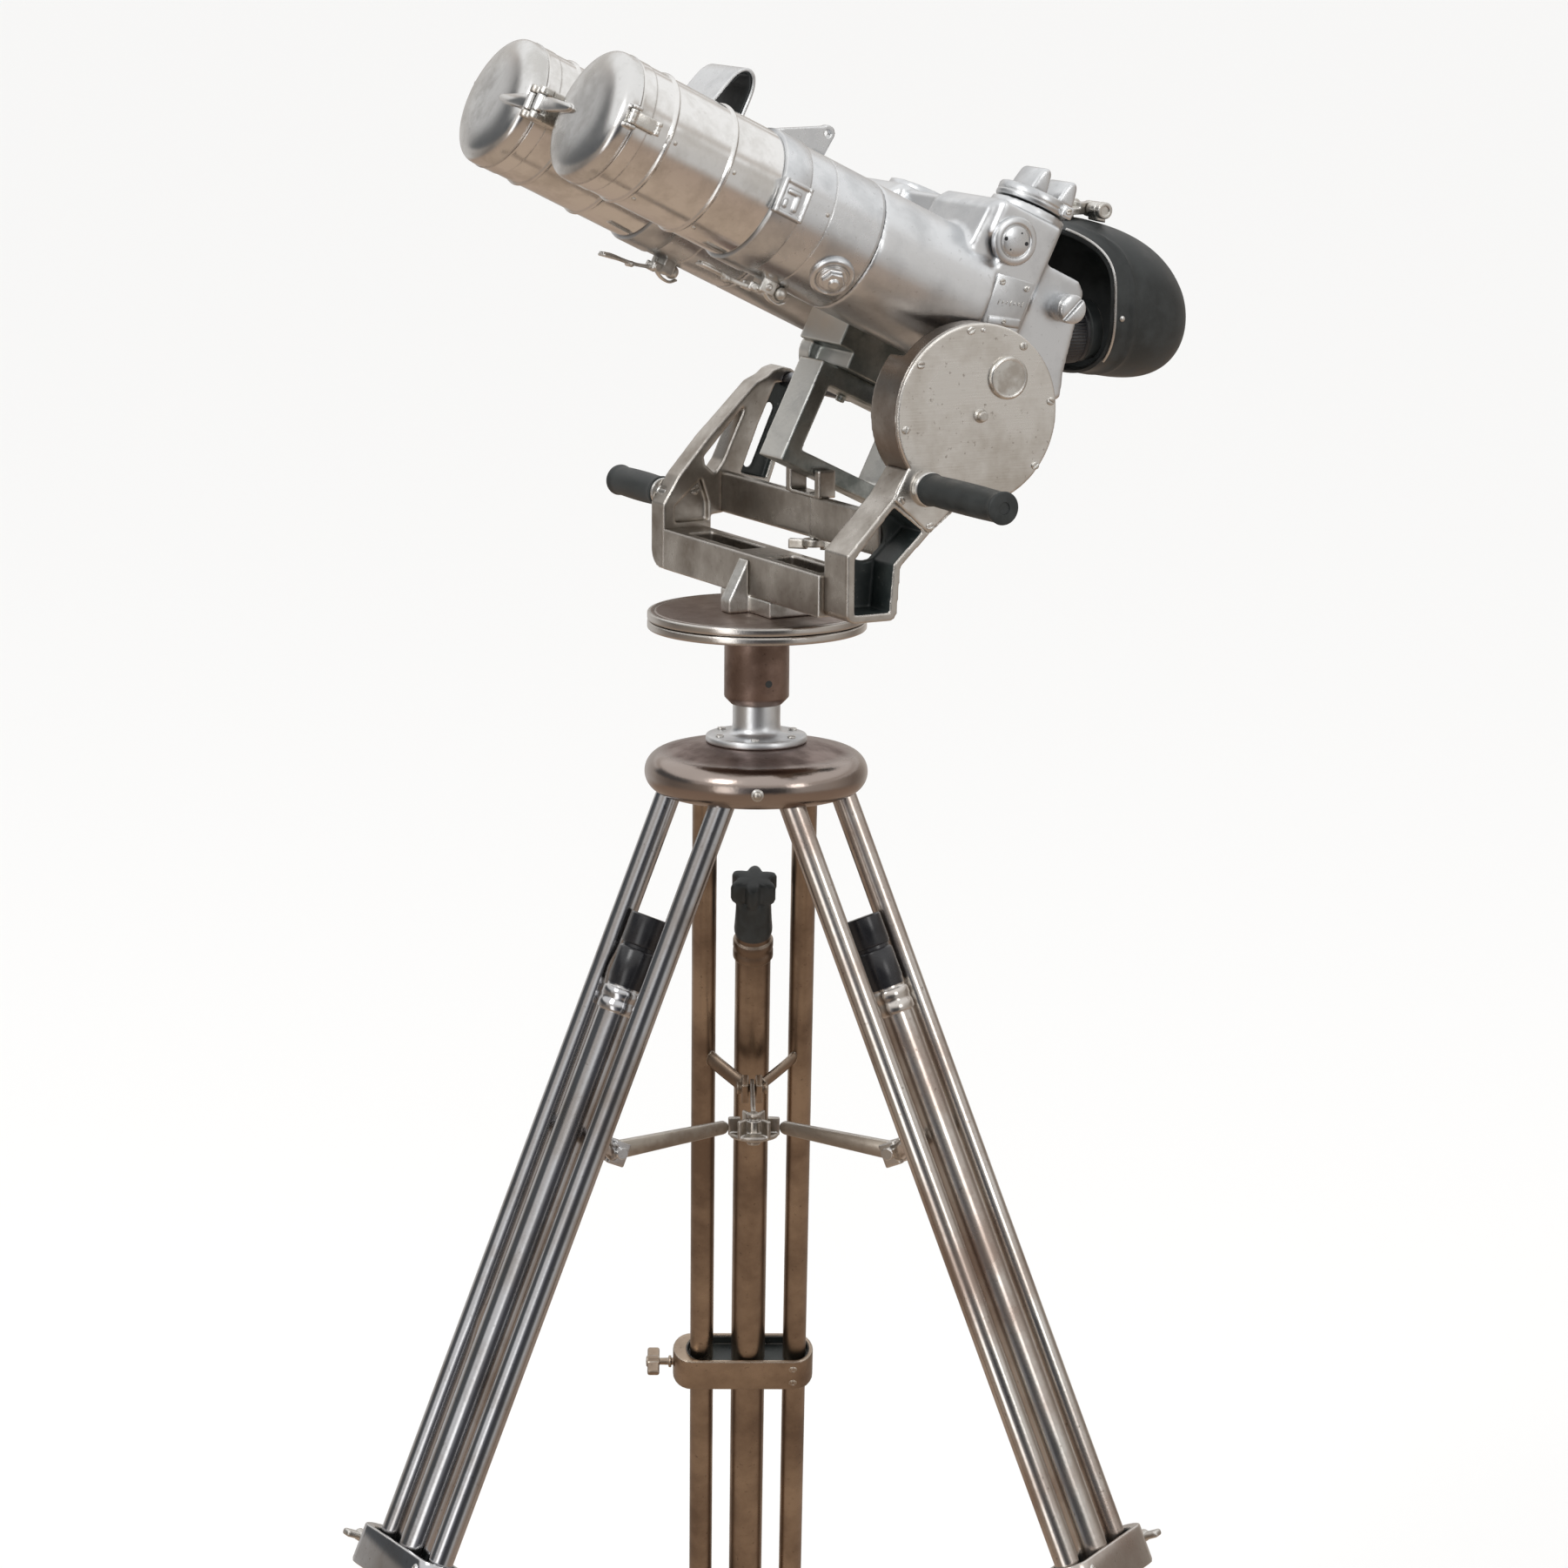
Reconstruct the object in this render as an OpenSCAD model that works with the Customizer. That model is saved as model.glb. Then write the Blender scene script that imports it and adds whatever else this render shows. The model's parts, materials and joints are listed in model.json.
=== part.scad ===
// Large observation binoculars on a fork mount and a three-legged tubular stand.
// Millimetres, +Z up. The origin is on the floor under the azimuth axis, the
// objectives look along -Y, and the user's left hand is at +X.

/* [Stand] */
// Height of the turntable's top face above the floor
disc_z = 1100; // [1080:1:1120]
// Radius of the two turntable discs
disc_r = 79.5; // [70:0.5:90]
// Radius of the tripod head's rolled rim
head_r = 81.2; // [78:0.2:84]
// Angle between a leg and the vertical
leg_angle = 23.5; // [22:0.5:25]
// Azimuth of the back leg
back_leg_az = 152.68; // [140:0.01:165]
// Radius of a leg's side tube
side_tube_r = 9.2; // [8.8:0.1:9.4]
// Distance of a side tube from the leg's centre line
side_tube_y = 37; // [36:0.5:38]
// Radius of the sliding centre tube
centre_tube_r = 13.4; // [12.5:0.1:14]
// Length of the side tubes below the leg hinge
side_tube_len = 860; // [840:5:900]

/* [Fork] */
// Height of the elevation axis above the turntable
axis_z = 148; // [146:1:150]
// Distance of the elevation axis behind the azimuth axis
axis_y = 95; // [93:1:97]
// Radius of the balance drum
drum_r = 64.4; // [60:0.2:66]
// Outer face of the drum cover
cover_x = 144; // [142:1:146]
// Radius of the handle grips
grip_r = 11; // [10:0.5:12]

/* [Binocular body] */
// Tilt of the barrels above the horizontal as stored
tilt = 26; // [24:1:28]
// Distance of a barrel's axis from the middle plane
barrel_x = 74.1; // [73:0.1:76]
// Height of a barrel's axis above the body datum
barrel_w = 73.5; // [72:0.5:75]
// Outer radius of a barrel
barrel_r = 48.5; // [47.5:0.5:49]
// Outer radius of an objective hood
hood_r = 47; // [46:0.5:47.5]
// Distance of each eyepiece from the middle plane
eye_x = 32.5; // [31:0.5:34]
// Radius of an eyepiece's focusing ring
eye_r = 24; // [22:0.5:25]

/* [Lids] */
// Depth of a lid's dome
lid_depth = 15; // [13:0.5:16]
// Thickness of the lid's sheet
lid_wall = 1.8; // [1.5:0.1:2.5]

/* [Hidden] */
$fn = 64;
eps = 0.1;
running = 0.05;            // radial clearance of a running fit
gap = 0.3;                 // space between parts that pass each other
body_y = 99.6;             // body datum, a little above and behind the elevation axis
body_z = 152.7;
axis_u = (axis_y - body_y) * cos(tilt) - (axis_z - body_z) * sin(tilt);
axis_w = (axis_y - body_y) * sin(tilt) + (axis_z - body_z) * cos(tilt);
disc_t = 6.1;              // turntable discs, both alike
disc_gap = 0.5;
sleeve_r = 23.6;
sleeve_low = -62.5;
shaft_r = 12;
shaft_low = -41;
spigot_r = 17.3;
lock_az = -6.3;            // the sleeve's lock hole, and its seat in the spigot
flange_r = 36.9;
flange_top = -90.6;
head_top = -96.3;
head_low = -133;
rim_mid = -118;
rim_round = 15;
hinge_r = 47;              // leg hinge, from the azimuth axis
hinge_z = -125;
leg_pin_r = 5;
collar_t = 566;            // clamp collar along the back leg, from the hinge
front_drop = 20;           // the front legs' collars sit this much lower
collar_h = 30;
wing_side = [1, -1, 1];    // side of each leg that carries the wing screw
leg_len = 1063;            // hinge to the centre of the foot's sole
pivot_t = 269.1;           // spreader pivot along the leg
pivot_n = -40.7;           // and inward from the leg's plane
spread_z = -382.7;         // hub centre
bar_len = 95;
bar_rise = 3;              // slope of the bars as stored
drum_y = 97.3;
drum_z = 153.6;
drum_in = 124;             // inner face of the drum's round casing
drum_deep = 105;           // inner face of its lower front part
cover_t = 3;
elev_shaft_r = 6;
elev_boss_r = 11;
journal_r = 5;
far_in = -130;             // inner face of the far arm
far_out = -150;
hood_front = -326;
hood_back = -205;
seam_u = -117;             // where a barrel screws into the casting
stub_end = -16;
hinge_x = 7;               // lid hinge pins, each side of the middle
hinge_u = -343;
lid_pin_r = 2;
knob_u = 11;
latch_u = -172;
latch_w = 17.5;
latch_drop = 10;           // the right latch hangs open by this angle
eye_z = 195;               // eyepiece axis above the turntable
shield_y = 268;            // face shield hinge
shield_z = 281;
shield_x = 70;             // outer half width of the face shield

// Side outlines, as points [Y, Z] above the turntable
far_arm = [[-10, 12], [-10, 60], [3, 81], [26, 107], [67, 147], [77, 151.5],
           [82.5, 156], [90, 158], [97.5, 156], [103, 151], [105, 143], [78, 68], [52, 76], [46, 76], [46, 52], [30, 50], [30, 12]];
near_arm = [[0, 12], [-4, 13.7], [-6, 17], [-6, 60], [31, 99], [44, 118], [90, 118], [90, 95], [76, 84],
            [59, 71], [37, 50], [34.3, 17], [32.3, 13.5], [29, 12]];
near_pocket = [[0, 18], [0, 57], [31, 92], [54, 74], [31, 52], [28, 18]];
near_inner = [[1, 19], [1, 56.6], [31, 90.4], [52.4, 74], [30, 52.5], [27, 19]];
tail = [[42, 118], [31, 97], [59, 72], [75, 85], [90, 120]];
shield_side = [[219, 274], [241, 274.5], [262, 274], [282, 269], [302, 261.4], [322, 251],
               [334, 242], [340, 235], [340, 162], [334, 157], [322, 155], [302, 154.8],
               [282, 157], [262, 161], [243, 164], [236, 173], [252, 185], [261, 203],
               [263, 222], [255, 248], [241, 268]];
shield_room = [[200, 270], [262, 270], [281, 265], [300, 257.5], [319, 247.5], [331, 238.5],
               [336, 232], [342, 232], [342, 165], [336, 165], [330, 161], [322, 159],
               [302, 158.8], [283, 161], [262, 165], [244, 168], [200, 185]];
// Half of its plan, as points [X, Y], outside and inside
shield_plan = [[70, 200], [70, 262], [69.5, 282], [66.8, 302], [60, 322], [52.4, 334],
               [46.7, 340]];
shield_bay = [[66, 199], [66, 262], [65.5, 281], [62.8, 300], [56.5, 319], [49, 331],
              [43, 338], [43, 342]];
shield_edge = [[237, 173], [252, 185], [261, 203], [263, 222], [255, 248], [241, 268],
               [241, 273], [247, 270], [260, 250], [268, 222], [266, 202], [257, 183], [243, 169]];
// Side outline of a prism housing, as points [u, w] from the body datum
housing = [[-42, 110], [-40, 140], [-32, 149], [20, 150], [23, 122], [53, 122], [60, 116],
           [70, 60], [76, 42], [70, 34], [-16, 34], [-16, 88]];

// Places: on the turntable, in the tilted body, and down a leg (Z = minus the
// distance from the hinge, Y across the leg, X outward)
module on_disc() {
    translate([0, 0, disc_z]) children();
}
module in_body() {
    translate([0, body_y, disc_z + body_z]) rotate([-tilt, 0, 0]) children();
}
module on_leg(k) {
    rotate([0, 0, back_leg_az + 120 * k])
        translate([hinge_r, 0, disc_z + hinge_z]) rotate([0, -leg_angle, 0]) children();
}
module mirrored_x(side) {
    mirror([side < 0 ? 1 : 0, 0, 0]) children();
}
module both_sides() {
    children();
    mirror([1, 0, 0]) children();
}

// Simple solids between two coordinates
module block(low, high) {
    translate(low) cube(high - low);
}
module rod_x(x0, x1, r, y = 0, z = 0) {
    translate([x0, y, z]) rotate([0, 90, 0]) cylinder(h = x1 - x0, r = r);
}
module rod_y(y0, y1, r, x = 0, z = 0) {
    translate([x, y0, z]) rotate([-90, 0, 0]) cylinder(h = y1 - y0, r = r);
}
module rod_z(z0, z1, r, x = 0, y = 0) {
    translate([x, y, z0]) cylinder(h = z1 - z0, r = r);
}
// A side outline with its points in Y and Z, carried along X
module side_plate(x0, x1) {
    translate([x0, 0, 0]) rotate([90, 0, 90]) linear_extrude(x1 - x0) children();
}
// A tube on a barrel's axis
module barrel_tube(u0, u1, outer, inner) {
    difference() {
        rod_y(u0, u1, outer, barrel_x, barrel_w);
        rod_y(u0 - eps, u1 + eps, inner, barrel_x, barrel_w);
    }
}

module tripod_head() {
    plate_r = 66.2;
    inner_r = 70;
    plate_low = -109;
    lug_y = 16;
    color("#6b574a") on_disc() difference() {
        union() {
            difference() {
                union() {
                    rotate_extrude() polygon([[0, head_top], [38, head_top],
                        [plate_r, rim_mid + rim_round], [plate_r, plate_low], [0, plate_low]]);
                    rotate_extrude() translate([plate_r, rim_mid]) circle(rim_round);
                }
                rod_z(head_low - 1, plate_low, inner_r);
            }
            for (k = [0:2]) rotate([0, 0, back_leg_az + 120 * k])
                block([33, -lug_y, head_low], [57, lug_y, plate_low + eps]);
        }
        for (k = [0:2]) translate([0, 0, -disc_z]) on_leg(k) {
            rotate([90, 0, 0]) translate([0, 0, -lug_y - 1])
                cylinder(h = 2 * lug_y + 2, r = leg_pin_r + running);
            for (side = [-1, 1])
                rod_z(-40, 0, side_tube_r + 1.2, 0, side * side_tube_y);
        }
        for (k = [0:2]) rotate([0, 0, back_leg_az + 60 + 120 * k])
            union() {
                rod_x(74, head_r + 1, 2, 0, -120);
                rod_x(80.6, head_r + 1, 3.6, 0, -120);
            }
    }
}

module stand_screws() {
    color("#b8b2a8") on_disc() {
        for (k = [0:2]) rotate([0, 0, back_leg_az + 60 + 120 * k]) {
            rod_x(74, 80.6, 2, 0, -120);
            rod_x(80.6, 83.2, 3.6, 0, -120);
        }
        for (k = [0:5]) rotate([0, 0, 30 + 60 * k]) {
            rod_z(flange_top, flange_top + 1.4, 3, 30);
            rod_z(head_top, flange_top, 1.8, 30);
        }
    }
}

module column_flange() {
    color("#c9cacb") on_disc() difference() {
        union() {
            rod_z(head_top, flange_top, flange_r);
            rod_z(flange_top - eps, shaft_low - 1, spigot_r);
        }
        for (k = [0:5]) rotate([0, 0, 30 + 60 * k])
            rod_z(head_top - 1, flange_top + 1, 1.8, 30);
        rotate([0, 0, lock_az]) rod_x(spigot_r - 1.5, spigot_r + 1, 3, 0, -50.4);
    }
}

module turntable_base() {
    low = -disc_t - disc_gap - disc_t;
    color("#6b574a") on_disc() difference() {
        union() {
            rod_z(low, -disc_t - disc_gap, disc_r);
            rod_z(sleeve_low, low + eps, sleeve_r);
            rotate_extrude() polygon([[0, sleeve_low], [sleeve_r, sleeve_low],
                [spigot_r + 0.7, -68.1], [0, -68.1]]);
        }
        rod_z(shaft_low - 1, 0, shaft_r + running);
        rod_z(-70, shaft_low - 1, spigot_r);
        rotate([0, 0, lock_az]) rod_x(spigot_r - 1, sleeve_r + 1, 2.5, 0, -50.4);
    }
}

module turntable_disc() {
    color("#75625a") on_disc() difference() {
        rod_z(-disc_t, 0, disc_r);
        rod_z(-disc_t - 1, 1, shaft_r);
    }
}

module azimuth_shaft() {
    color("#a0a0a0") on_disc() rod_z(shaft_low, 0, shaft_r);
}

module yoke_pedestal() {
    rib = [[-10, 0], [-26, 0], [-26, 9], [-10, 40]];
    color("#c6c2b8") on_disc() {
        block([-38, -10, 0], [38, 30, 12]);
        side_plate(-8, 6) polygon(rib);
    }
}

module yoke_front_beam() {
    top = 42;
    back = 26;
    pocket_low = 22;
    color("#9c948a") on_disc() difference() {
        block([far_in, -10, 12], [110, back, top]);
        for (x = [[-105, -20], [20, 98]])
            block([x[0], -2, pocket_low], [x[1], back - 8, top + 1]);
    }
}

module yoke_rear_beam() {
    color("#9c948a") on_disc() difference() {
        block([far_in, 38, 52], [110, 46, 82]);
        rod_z(50, 84, 3 + running, 8, 42);
    }
}

module left_yoke_arm() {
    web_out = 116;
    color("#8f877d") on_disc() difference() {
        side_plate(110, cover_x) polygon(near_arm);
        side_plate(web_out, cover_x + 1) polygon(near_pocket);
        side_plate(cover_x - cover_t, cover_x + 1) polygon(tail);
        rod_x(drum_deep - 1, cover_x + 1, drum_r, drum_y, drum_z);
        // Lightening hole through the web, inside the flanges
        side_plate(109, 117) intersection() {
            translate([24, 67.5]) circle(16.5);
            polygon(near_inner);
        }
        rod_x(124, cover_x + 1, 6, 57, 104);
    }
}

module right_yoke_arm() {
    teardrop = [[60, 133], [24, 94], [25, 88], [33, 81], [40, 90]];
    web = [[84, 146], [96, 146], [99, 139], [76, 75], [55, 80], [70, 117]];
    web_in = -136;
    back_web = [[77.7, 133], [96.8, 133], [76, 75], [55, 80], [70, 117]];
    slot = [[0, -4], [2.8, -2.8], [4, 0], [2.8, 2.8], [0, 4],
            [-44, 4], [-46.8, 2.8], [-48, 0], [-46.8, -2.8], [-44, -4]];
    color("#8f877d") on_disc() difference() {
        side_plate(far_out, far_in) polygon(far_arm);
        side_plate(far_out - 1, far_in + 1) polygon(teardrop);
        side_plate(web_in, far_in + 1) polygon(web);
        side_plate(far_out - 1, web_in - 4) polygon(back_web);
        // Rounded outer corner at the foot
        translate([0, 60, 0]) rotate([90, 0, 0]) linear_extrude(80)
            polygon([[far_out - 1, 11], [far_out - 1, 26], [far_out, 26], [far_out + 1.1, 20.6],
                [far_out + 4.1, 16.1], [far_out + 8.6, 13.1], [far_out + 14, 12],
                [far_out + 14, 11]]);
        side_plate(far_out - 1, far_in + 1) translate([82, 127]) rotate(66.3) polygon(slot);
        side_plate(far_in - 6, far_in + 1) polygon([[0, 46], [0, 58], [22, 78], [28, 60], [28, 46]]);
        rod_x(far_out - 1, far_in + 1, journal_r + running, axis_y, axis_z);
        rod_x(far_out - 1, far_in - 8, 6, 1, 66);
    }
}

module drum_housing() {
    back_wall = 4;
    rim_wall = 5;
    clear_r = 39;
    color("#94897c") on_disc() difference() {
        union() {
            rod_x(drum_in, cover_x - cover_t, drum_r, drum_y, drum_z);
            difference() {
                rod_x(drum_deep, drum_in + eps, drum_r, drum_y, drum_z);
                // Room for the barrels at every elevation
                for (a = [0:13:91]) translate([0, axis_y, axis_z]) rotate([a - 10, 0, 0])
                    block([drum_deep - 1, clear_r, -200], [drum_in, 200, 200]);
                translate([0, axis_y, axis_z]) rod_x(drum_deep - 1, drum_in, 20);
            }
        }
        rod_x(drum_in + back_wall, cover_x, drum_r - rim_wall, drum_y, drum_z);
        rod_x(drum_deep - 1, cover_x, elev_shaft_r + running, axis_y, axis_z);
        rod_x(drum_in - 1, cover_x, 6.05, 57, 104);
    }
}

module drum_cover() {
    color("#b1aca3") on_disc() difference() {
        side_plate(cover_x - cover_t, cover_x) {
            translate([drum_y, drum_z]) circle(drum_r);
            polygon(tail);
        }
        rod_x(cover_x - cover_t - 1, cover_x + 1, 6, 57, 104);
    }
}

module drum_fittings() {
    screws = [[91, 213], [134, 200], [51, 191], [39.5, 146], [157, 160], [145, 115]];
    color("#bdb8ae") on_disc() {
        rod_x(cover_x, cover_x + 3.2, 15.3, 121.3, 178.5);
        rod_x(cover_x, cover_x + 5, 4, 99.8, 152.7);
        for (s = screws) rod_x(cover_x, cover_x + 1.2, 2.6, s[0], s[1]);
        for (s = [[36.5, 96.5], [60, 77]]) rod_x(cover_x, cover_x + 1.2, 2.6, s[0], s[1]);
        rod_x(cover_x, cover_x + 1, 1.6, 101, 213);
        rod_x(far_in - 6, far_in - 2, 4, 19, 69);
    }
}

// Flat spiral spring, wound about the elevation axis inside the drum
function spiral(r0, r1, turns, steps) =
    [for (i = [0:turns * steps]) let (a = 360 * i / steps, r = r0 + (r1 - r0) * i / (turns * steps))
        r * [cos(a), sin(a)]];
module balance_spring() {
    strip = 1.4;
    outer = spiral(14, 44, 3, 24);
    inner = spiral(14 - strip, 44 - strip, 3, 24);
    back = [for (i = [len(inner) - 1:-1:0]) inner[i]];
    color("#5c6470") on_disc() side_plate(130, 139) translate([axis_y, axis_z]) {
        polygon(concat(outer, back));
        translate([43, -1]) square([18.3, 2]);
    }
}

module handle_rods() {
    color("#8a8a88") on_disc() {
        rod_x(124, 246, 6, 57, 104);
        rod_x(-221, far_in - 8, 6, 1, 66);
    }
}

module handle_grip(x0, x1, y, z, end) {
    flare = grip_r + 1.5;
    difference() {
        union() {
            rod_x(x0, x1, grip_r, y, z);
            rod_x(end > 0 ? x1 - 6 : x0, end > 0 ? x1 : x0 + 6, flare, y, z);
            rod_x(end > 0 ? x0 : x1 - 5, end > 0 ? x0 + 5 : x1, flare - 0.5, y, z);
        }
        rod_x(end > 0 ? x0 - 1 : x0 + 4, end > 0 ? x1 - 4 : x1 + 1, 6, y, z);
    }
}
module handle_grips() {
    color("#1d2124") on_disc() {
        handle_grip(150, 250, 57, 104, 1);
        handle_grip(-225, -153, 1, 66, -1);
    }
}

module elevation_clamp() {
    jaw_in = 18.2;
    jaw_out = 25;
    color("#7d776e") on_disc() difference() {
        union() {
            block([-jaw_out, 36, 82], [jaw_out, 50, 84]);
            for (side = [-1, 1]) mirrored_x(side)
                block([jaw_in, 36, 83], [jaw_out, 50, 102]);
        }
        rod_z(81, 103, 3 + running, 8, 42);
    }
}

module elevation_wing_screw() {
    color("#a39d94") on_disc() translate([8, 42, 0]) {
        rod_z(45, 83.5, 3);
        rod_z(45, 50.5, 8);
        for (side = [-1, 1]) mirrored_x(side)
            rotate([0, 0, 45 * side]) block([5, -2.2, 42.7], [19, 2.2, 50]);
    }
}

module elevation_shaft() {
    color("#4a4c4e") on_disc() {
        rod_x(-125, 137, elev_shaft_r, axis_y, axis_z);
        rod_x(-147, -124.9, journal_r, axis_y, axis_z);
    }
}

module cradle_frame() {
    bar = 13;
    front = -63;
    rear = 34;
    low = -77;
    top = 1;
    color("#8d928f") in_body() difference() {
        union() {
            block([-17, front, low], [17, rear, top]);
            rod_x(-17, 17, elev_boss_r, axis_u, axis_w);
        }
        block([-18, front + bar, low + bar], [18, rear - bar, top - bar - 2]);
        rod_x(-18, 18, elev_shaft_r, axis_u, axis_w);
    }
    color("#6f7471") in_body() rod_z(-19, -13.5, 3.5, 0, -28);
}

module saddle_block() {
    color("#7c8280") in_body() difference() {
        union() {
            block([-30, -50, 1], [30, 34, 42]);
            block([-30, -63, 14], [30, -49, 42]);
            rod_x(-34, -17.3, 17, -41, 10);
        }
        block([-17.2, -70, -20], [17.2, 40, 1]);
        rod_x(-40, 40, elev_boss_r, axis_u, axis_w);
    }
}

module barrel() {
    barrel_tube(hood_back, seam_u, barrel_r, barrel_r - 3);
    barrel_tube(hood_back, -182, barrel_r + 1.1, barrel_r - 3);
}
module left_barrel() {
    color("#c4c6c8") in_body() barrel();
}
module right_barrel() {
    color("#c4c6c8") in_body() mirrored_x(-1) barrel();
}

module body_casting() {
    knob_r = 28;
    knob_top = 157;
    color("#b9bcbf") in_body() difference() {
        union() {
            both_sides() {
                rod_y(seam_u, stub_end, barrel_r, barrel_x, barrel_w);
                side_plate(31, 110) polygon(housing);
                side_plate(109, 114) polygon([[-18, 60], [-18, 118], [-32, 124], [-32, 148],
                    [20, 148], [20, 60]]);
                rod_z(116, knob_top, knob_r, barrel_x, knob_u);
            }
            block([-34, seam_u, 60], [34, 20, 118]);
            block([-30, -30, 100], [30, 24, 146]);
            block([-12, -180, 46], [12, seam_u + 1, 106]);
            block([-44, -246, 106], [44, seam_u + 1, 116]);
            block([-30, -63, 42], [30, 34, 61]);
            rotate([tilt, 0, 0]) side_plate(-62, 62)
                polygon([[50, 17], [114, 17], [114, 69], [50, 85]]);
        }
        both_sides() {
            rod_y(seam_u - 1, stub_end - 4, barrel_r - 3, barrel_x, barrel_w);
            rod_y(stub_end - 5, stub_end + 12, 38, barrel_x, barrel_w);
            block([40, stub_end + 6, 44], [100, 52, 114]);
            rod_z(110, knob_top + 1, 4 + running, barrel_x, knob_u);
            rod_y(-250, seam_u, barrel_r + 1.1, barrel_x, barrel_w);
        }
        // Eyepiece sockets, level when the barrels stand at their stored tilt
        rotate([tilt, 0, 0]) for (side = [-1, 1])
            rod_y(90, 120, 18 + running, side * eye_x, eye_z - body_z);
    }
}

module objective_hoods() {
    color("#cfd0d1") in_body() both_sides() {
        barrel_tube(hood_front, hood_back, hood_r, hood_r - 2.5);
        for (u = [-297, -247]) barrel_tube(u - 1.2, u + 1.2, hood_r + 1.4, hood_r - 2);
    }
}

module optics() {
    color("#9fb6c4") in_body() both_sides() {
        rod_y(-262, -254, hood_r - 2.5, barrel_x, barrel_w);
        translate([0, 20, 0]) rotate([90, 0, 0]) linear_extrude(24)
            polygon([[40, 44], [100, 44], [100, 104]]);
        translate([0, 48, 0]) rotate([90, 0, 0]) linear_extrude(24)
            polygon([[40, 44], [100, 104], [40, 104]]);
    }
}

module lid_hinge_bracket() {
    ear = 4;
    color("#b5b0a6") in_body() difference() {
        union() {
            block([-30, -322, barrel_w - 8], [30, -306, barrel_w + 8]);
            block([-9, -338, barrel_w - 12], [9, -314, barrel_w + 12]);
            for (z = [[-12, -6.5], [6.5, 12]]) {
                block([-hinge_x - ear, hinge_u, barrel_w + z[0]],
                      [hinge_x + ear, -337, barrel_w + z[1]]);
                for (side = [-1, 1])
                    rod_z(barrel_w + z[0], barrel_w + z[1], ear, side * hinge_x, hinge_u);
            }
            for (side = [-1, 1])
                rod_z(barrel_w - 12, barrel_w + 12, lid_pin_r, side * hinge_x, hinge_u);
        }
        both_sides() rod_y(-330, -300, hood_r, barrel_x, barrel_w);
    }
}

module sight_hood() {
    // An arch of sheet over the middle web, open to both sides
    outer = [[-236, 116], [-229, 132], [-225, 147], [-219, 157], [-212, 160], [-206, 156],
             [-203, 147], [-203, 116]];
    inner = [[-232.5, 115], [-226, 132], [-222, 146], [-217.5, 154], [-212, 157], [-208, 154],
             [-205.5, 147], [-205.5, 115]];
    color("#b9bcbf") in_body() difference() {
        side_plate(-26, 26) polygon(outer);
        side_plate(-27, 27) polygon(inner);
    }
}

module sight_lug() {
    color("#b9bcbf") in_body() difference() {
        union() {
            side_plate(-3, 3) polygon([[-168, 116], [-162, 136], [-124.5, 155], [-118.5, 149],
                [-120, 134], [-130, 134], [-130, 116]]);
            rod_x(-3, 3, 6, -124.5, 149);
        }
        rod_x(-4, 4, 2.6, -124.5, 149);
    }
}

module side_fittings() {
    color("#c9c9c6") in_body() both_sides() {
        // Round boss with a hexagon nut, low on the barrel's outer side
        translate([barrel_x, -136, barrel_w]) rotate([0, 37, 0]) difference() {
            union() {
                rod_x(40, barrel_r + 5, 16);
                translate([barrel_r + 5, 0, 0]) rotate([0, 90, 0]) cylinder(h = 7, r = 8.5, $fn = 6);
            }
            rotate([0, -37, 0]) rod_y(-30, 30, barrel_r);
        }
        // Square catch pad
        translate([barrel_x, -194, barrel_w]) rotate([0, -4, 0]) difference() {
            block([40, -12, -13], [barrel_r + 5, 12, 13]);
            rotate([0, 4, 0]) rod_y(-30, 30, barrel_r + 1.1);
        }
        // Dial cap, scale plate and slotted plug on the prism housing
        rod_x(114, 118, 17.5, -13.4, 125);
        side_plate(114, 115.5) polygon([[-15, 100], [16, 105], [18, 71], [-12, 62]]);
        rod_x(110, 125, 10.5, 48, 100);
        // Latch foot under the barrel's collar
        difference() {
            block([barrel_x - 7, latch_u + 4, latch_w - 3], [barrel_x + 7, latch_u + 14, 30]);
            rod_y(-230, -120, barrel_r, barrel_x, barrel_w);
        }
        for (x = [-7, 4])
            block([barrel_x + x, latch_u - 3, latch_w - 3],
                  [barrel_x + x + 3, latch_u + 5, latch_w + 3]);
        rod_x(barrel_x - 7, barrel_x + 7, 1.5, latch_u, latch_w);
    }
}

module shield_bracket() {
    color("#9a9c9c") in_body() difference() {
        rotate([tilt, 0, 0]) translate([0, -body_y, -body_z]) {
            block([-15, 166, 277], [15, 262, 282]);
            block([-15, 176, 268], [15, 190, 278]);
            for (side = [-1, 1]) mirrored_x(side) {
                block([9, 258, 277], [15, shield_y, 286]);
                rod_x(9, 15, 6, shield_y, shield_z);
            }
            rod_x(-30, 30, 3, shield_y, shield_z);
            rod_x(30, 33, 6, shield_y, shield_z);
        }
        block([-30, -30, 100], [30, 24, 146]);
    }
}

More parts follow.
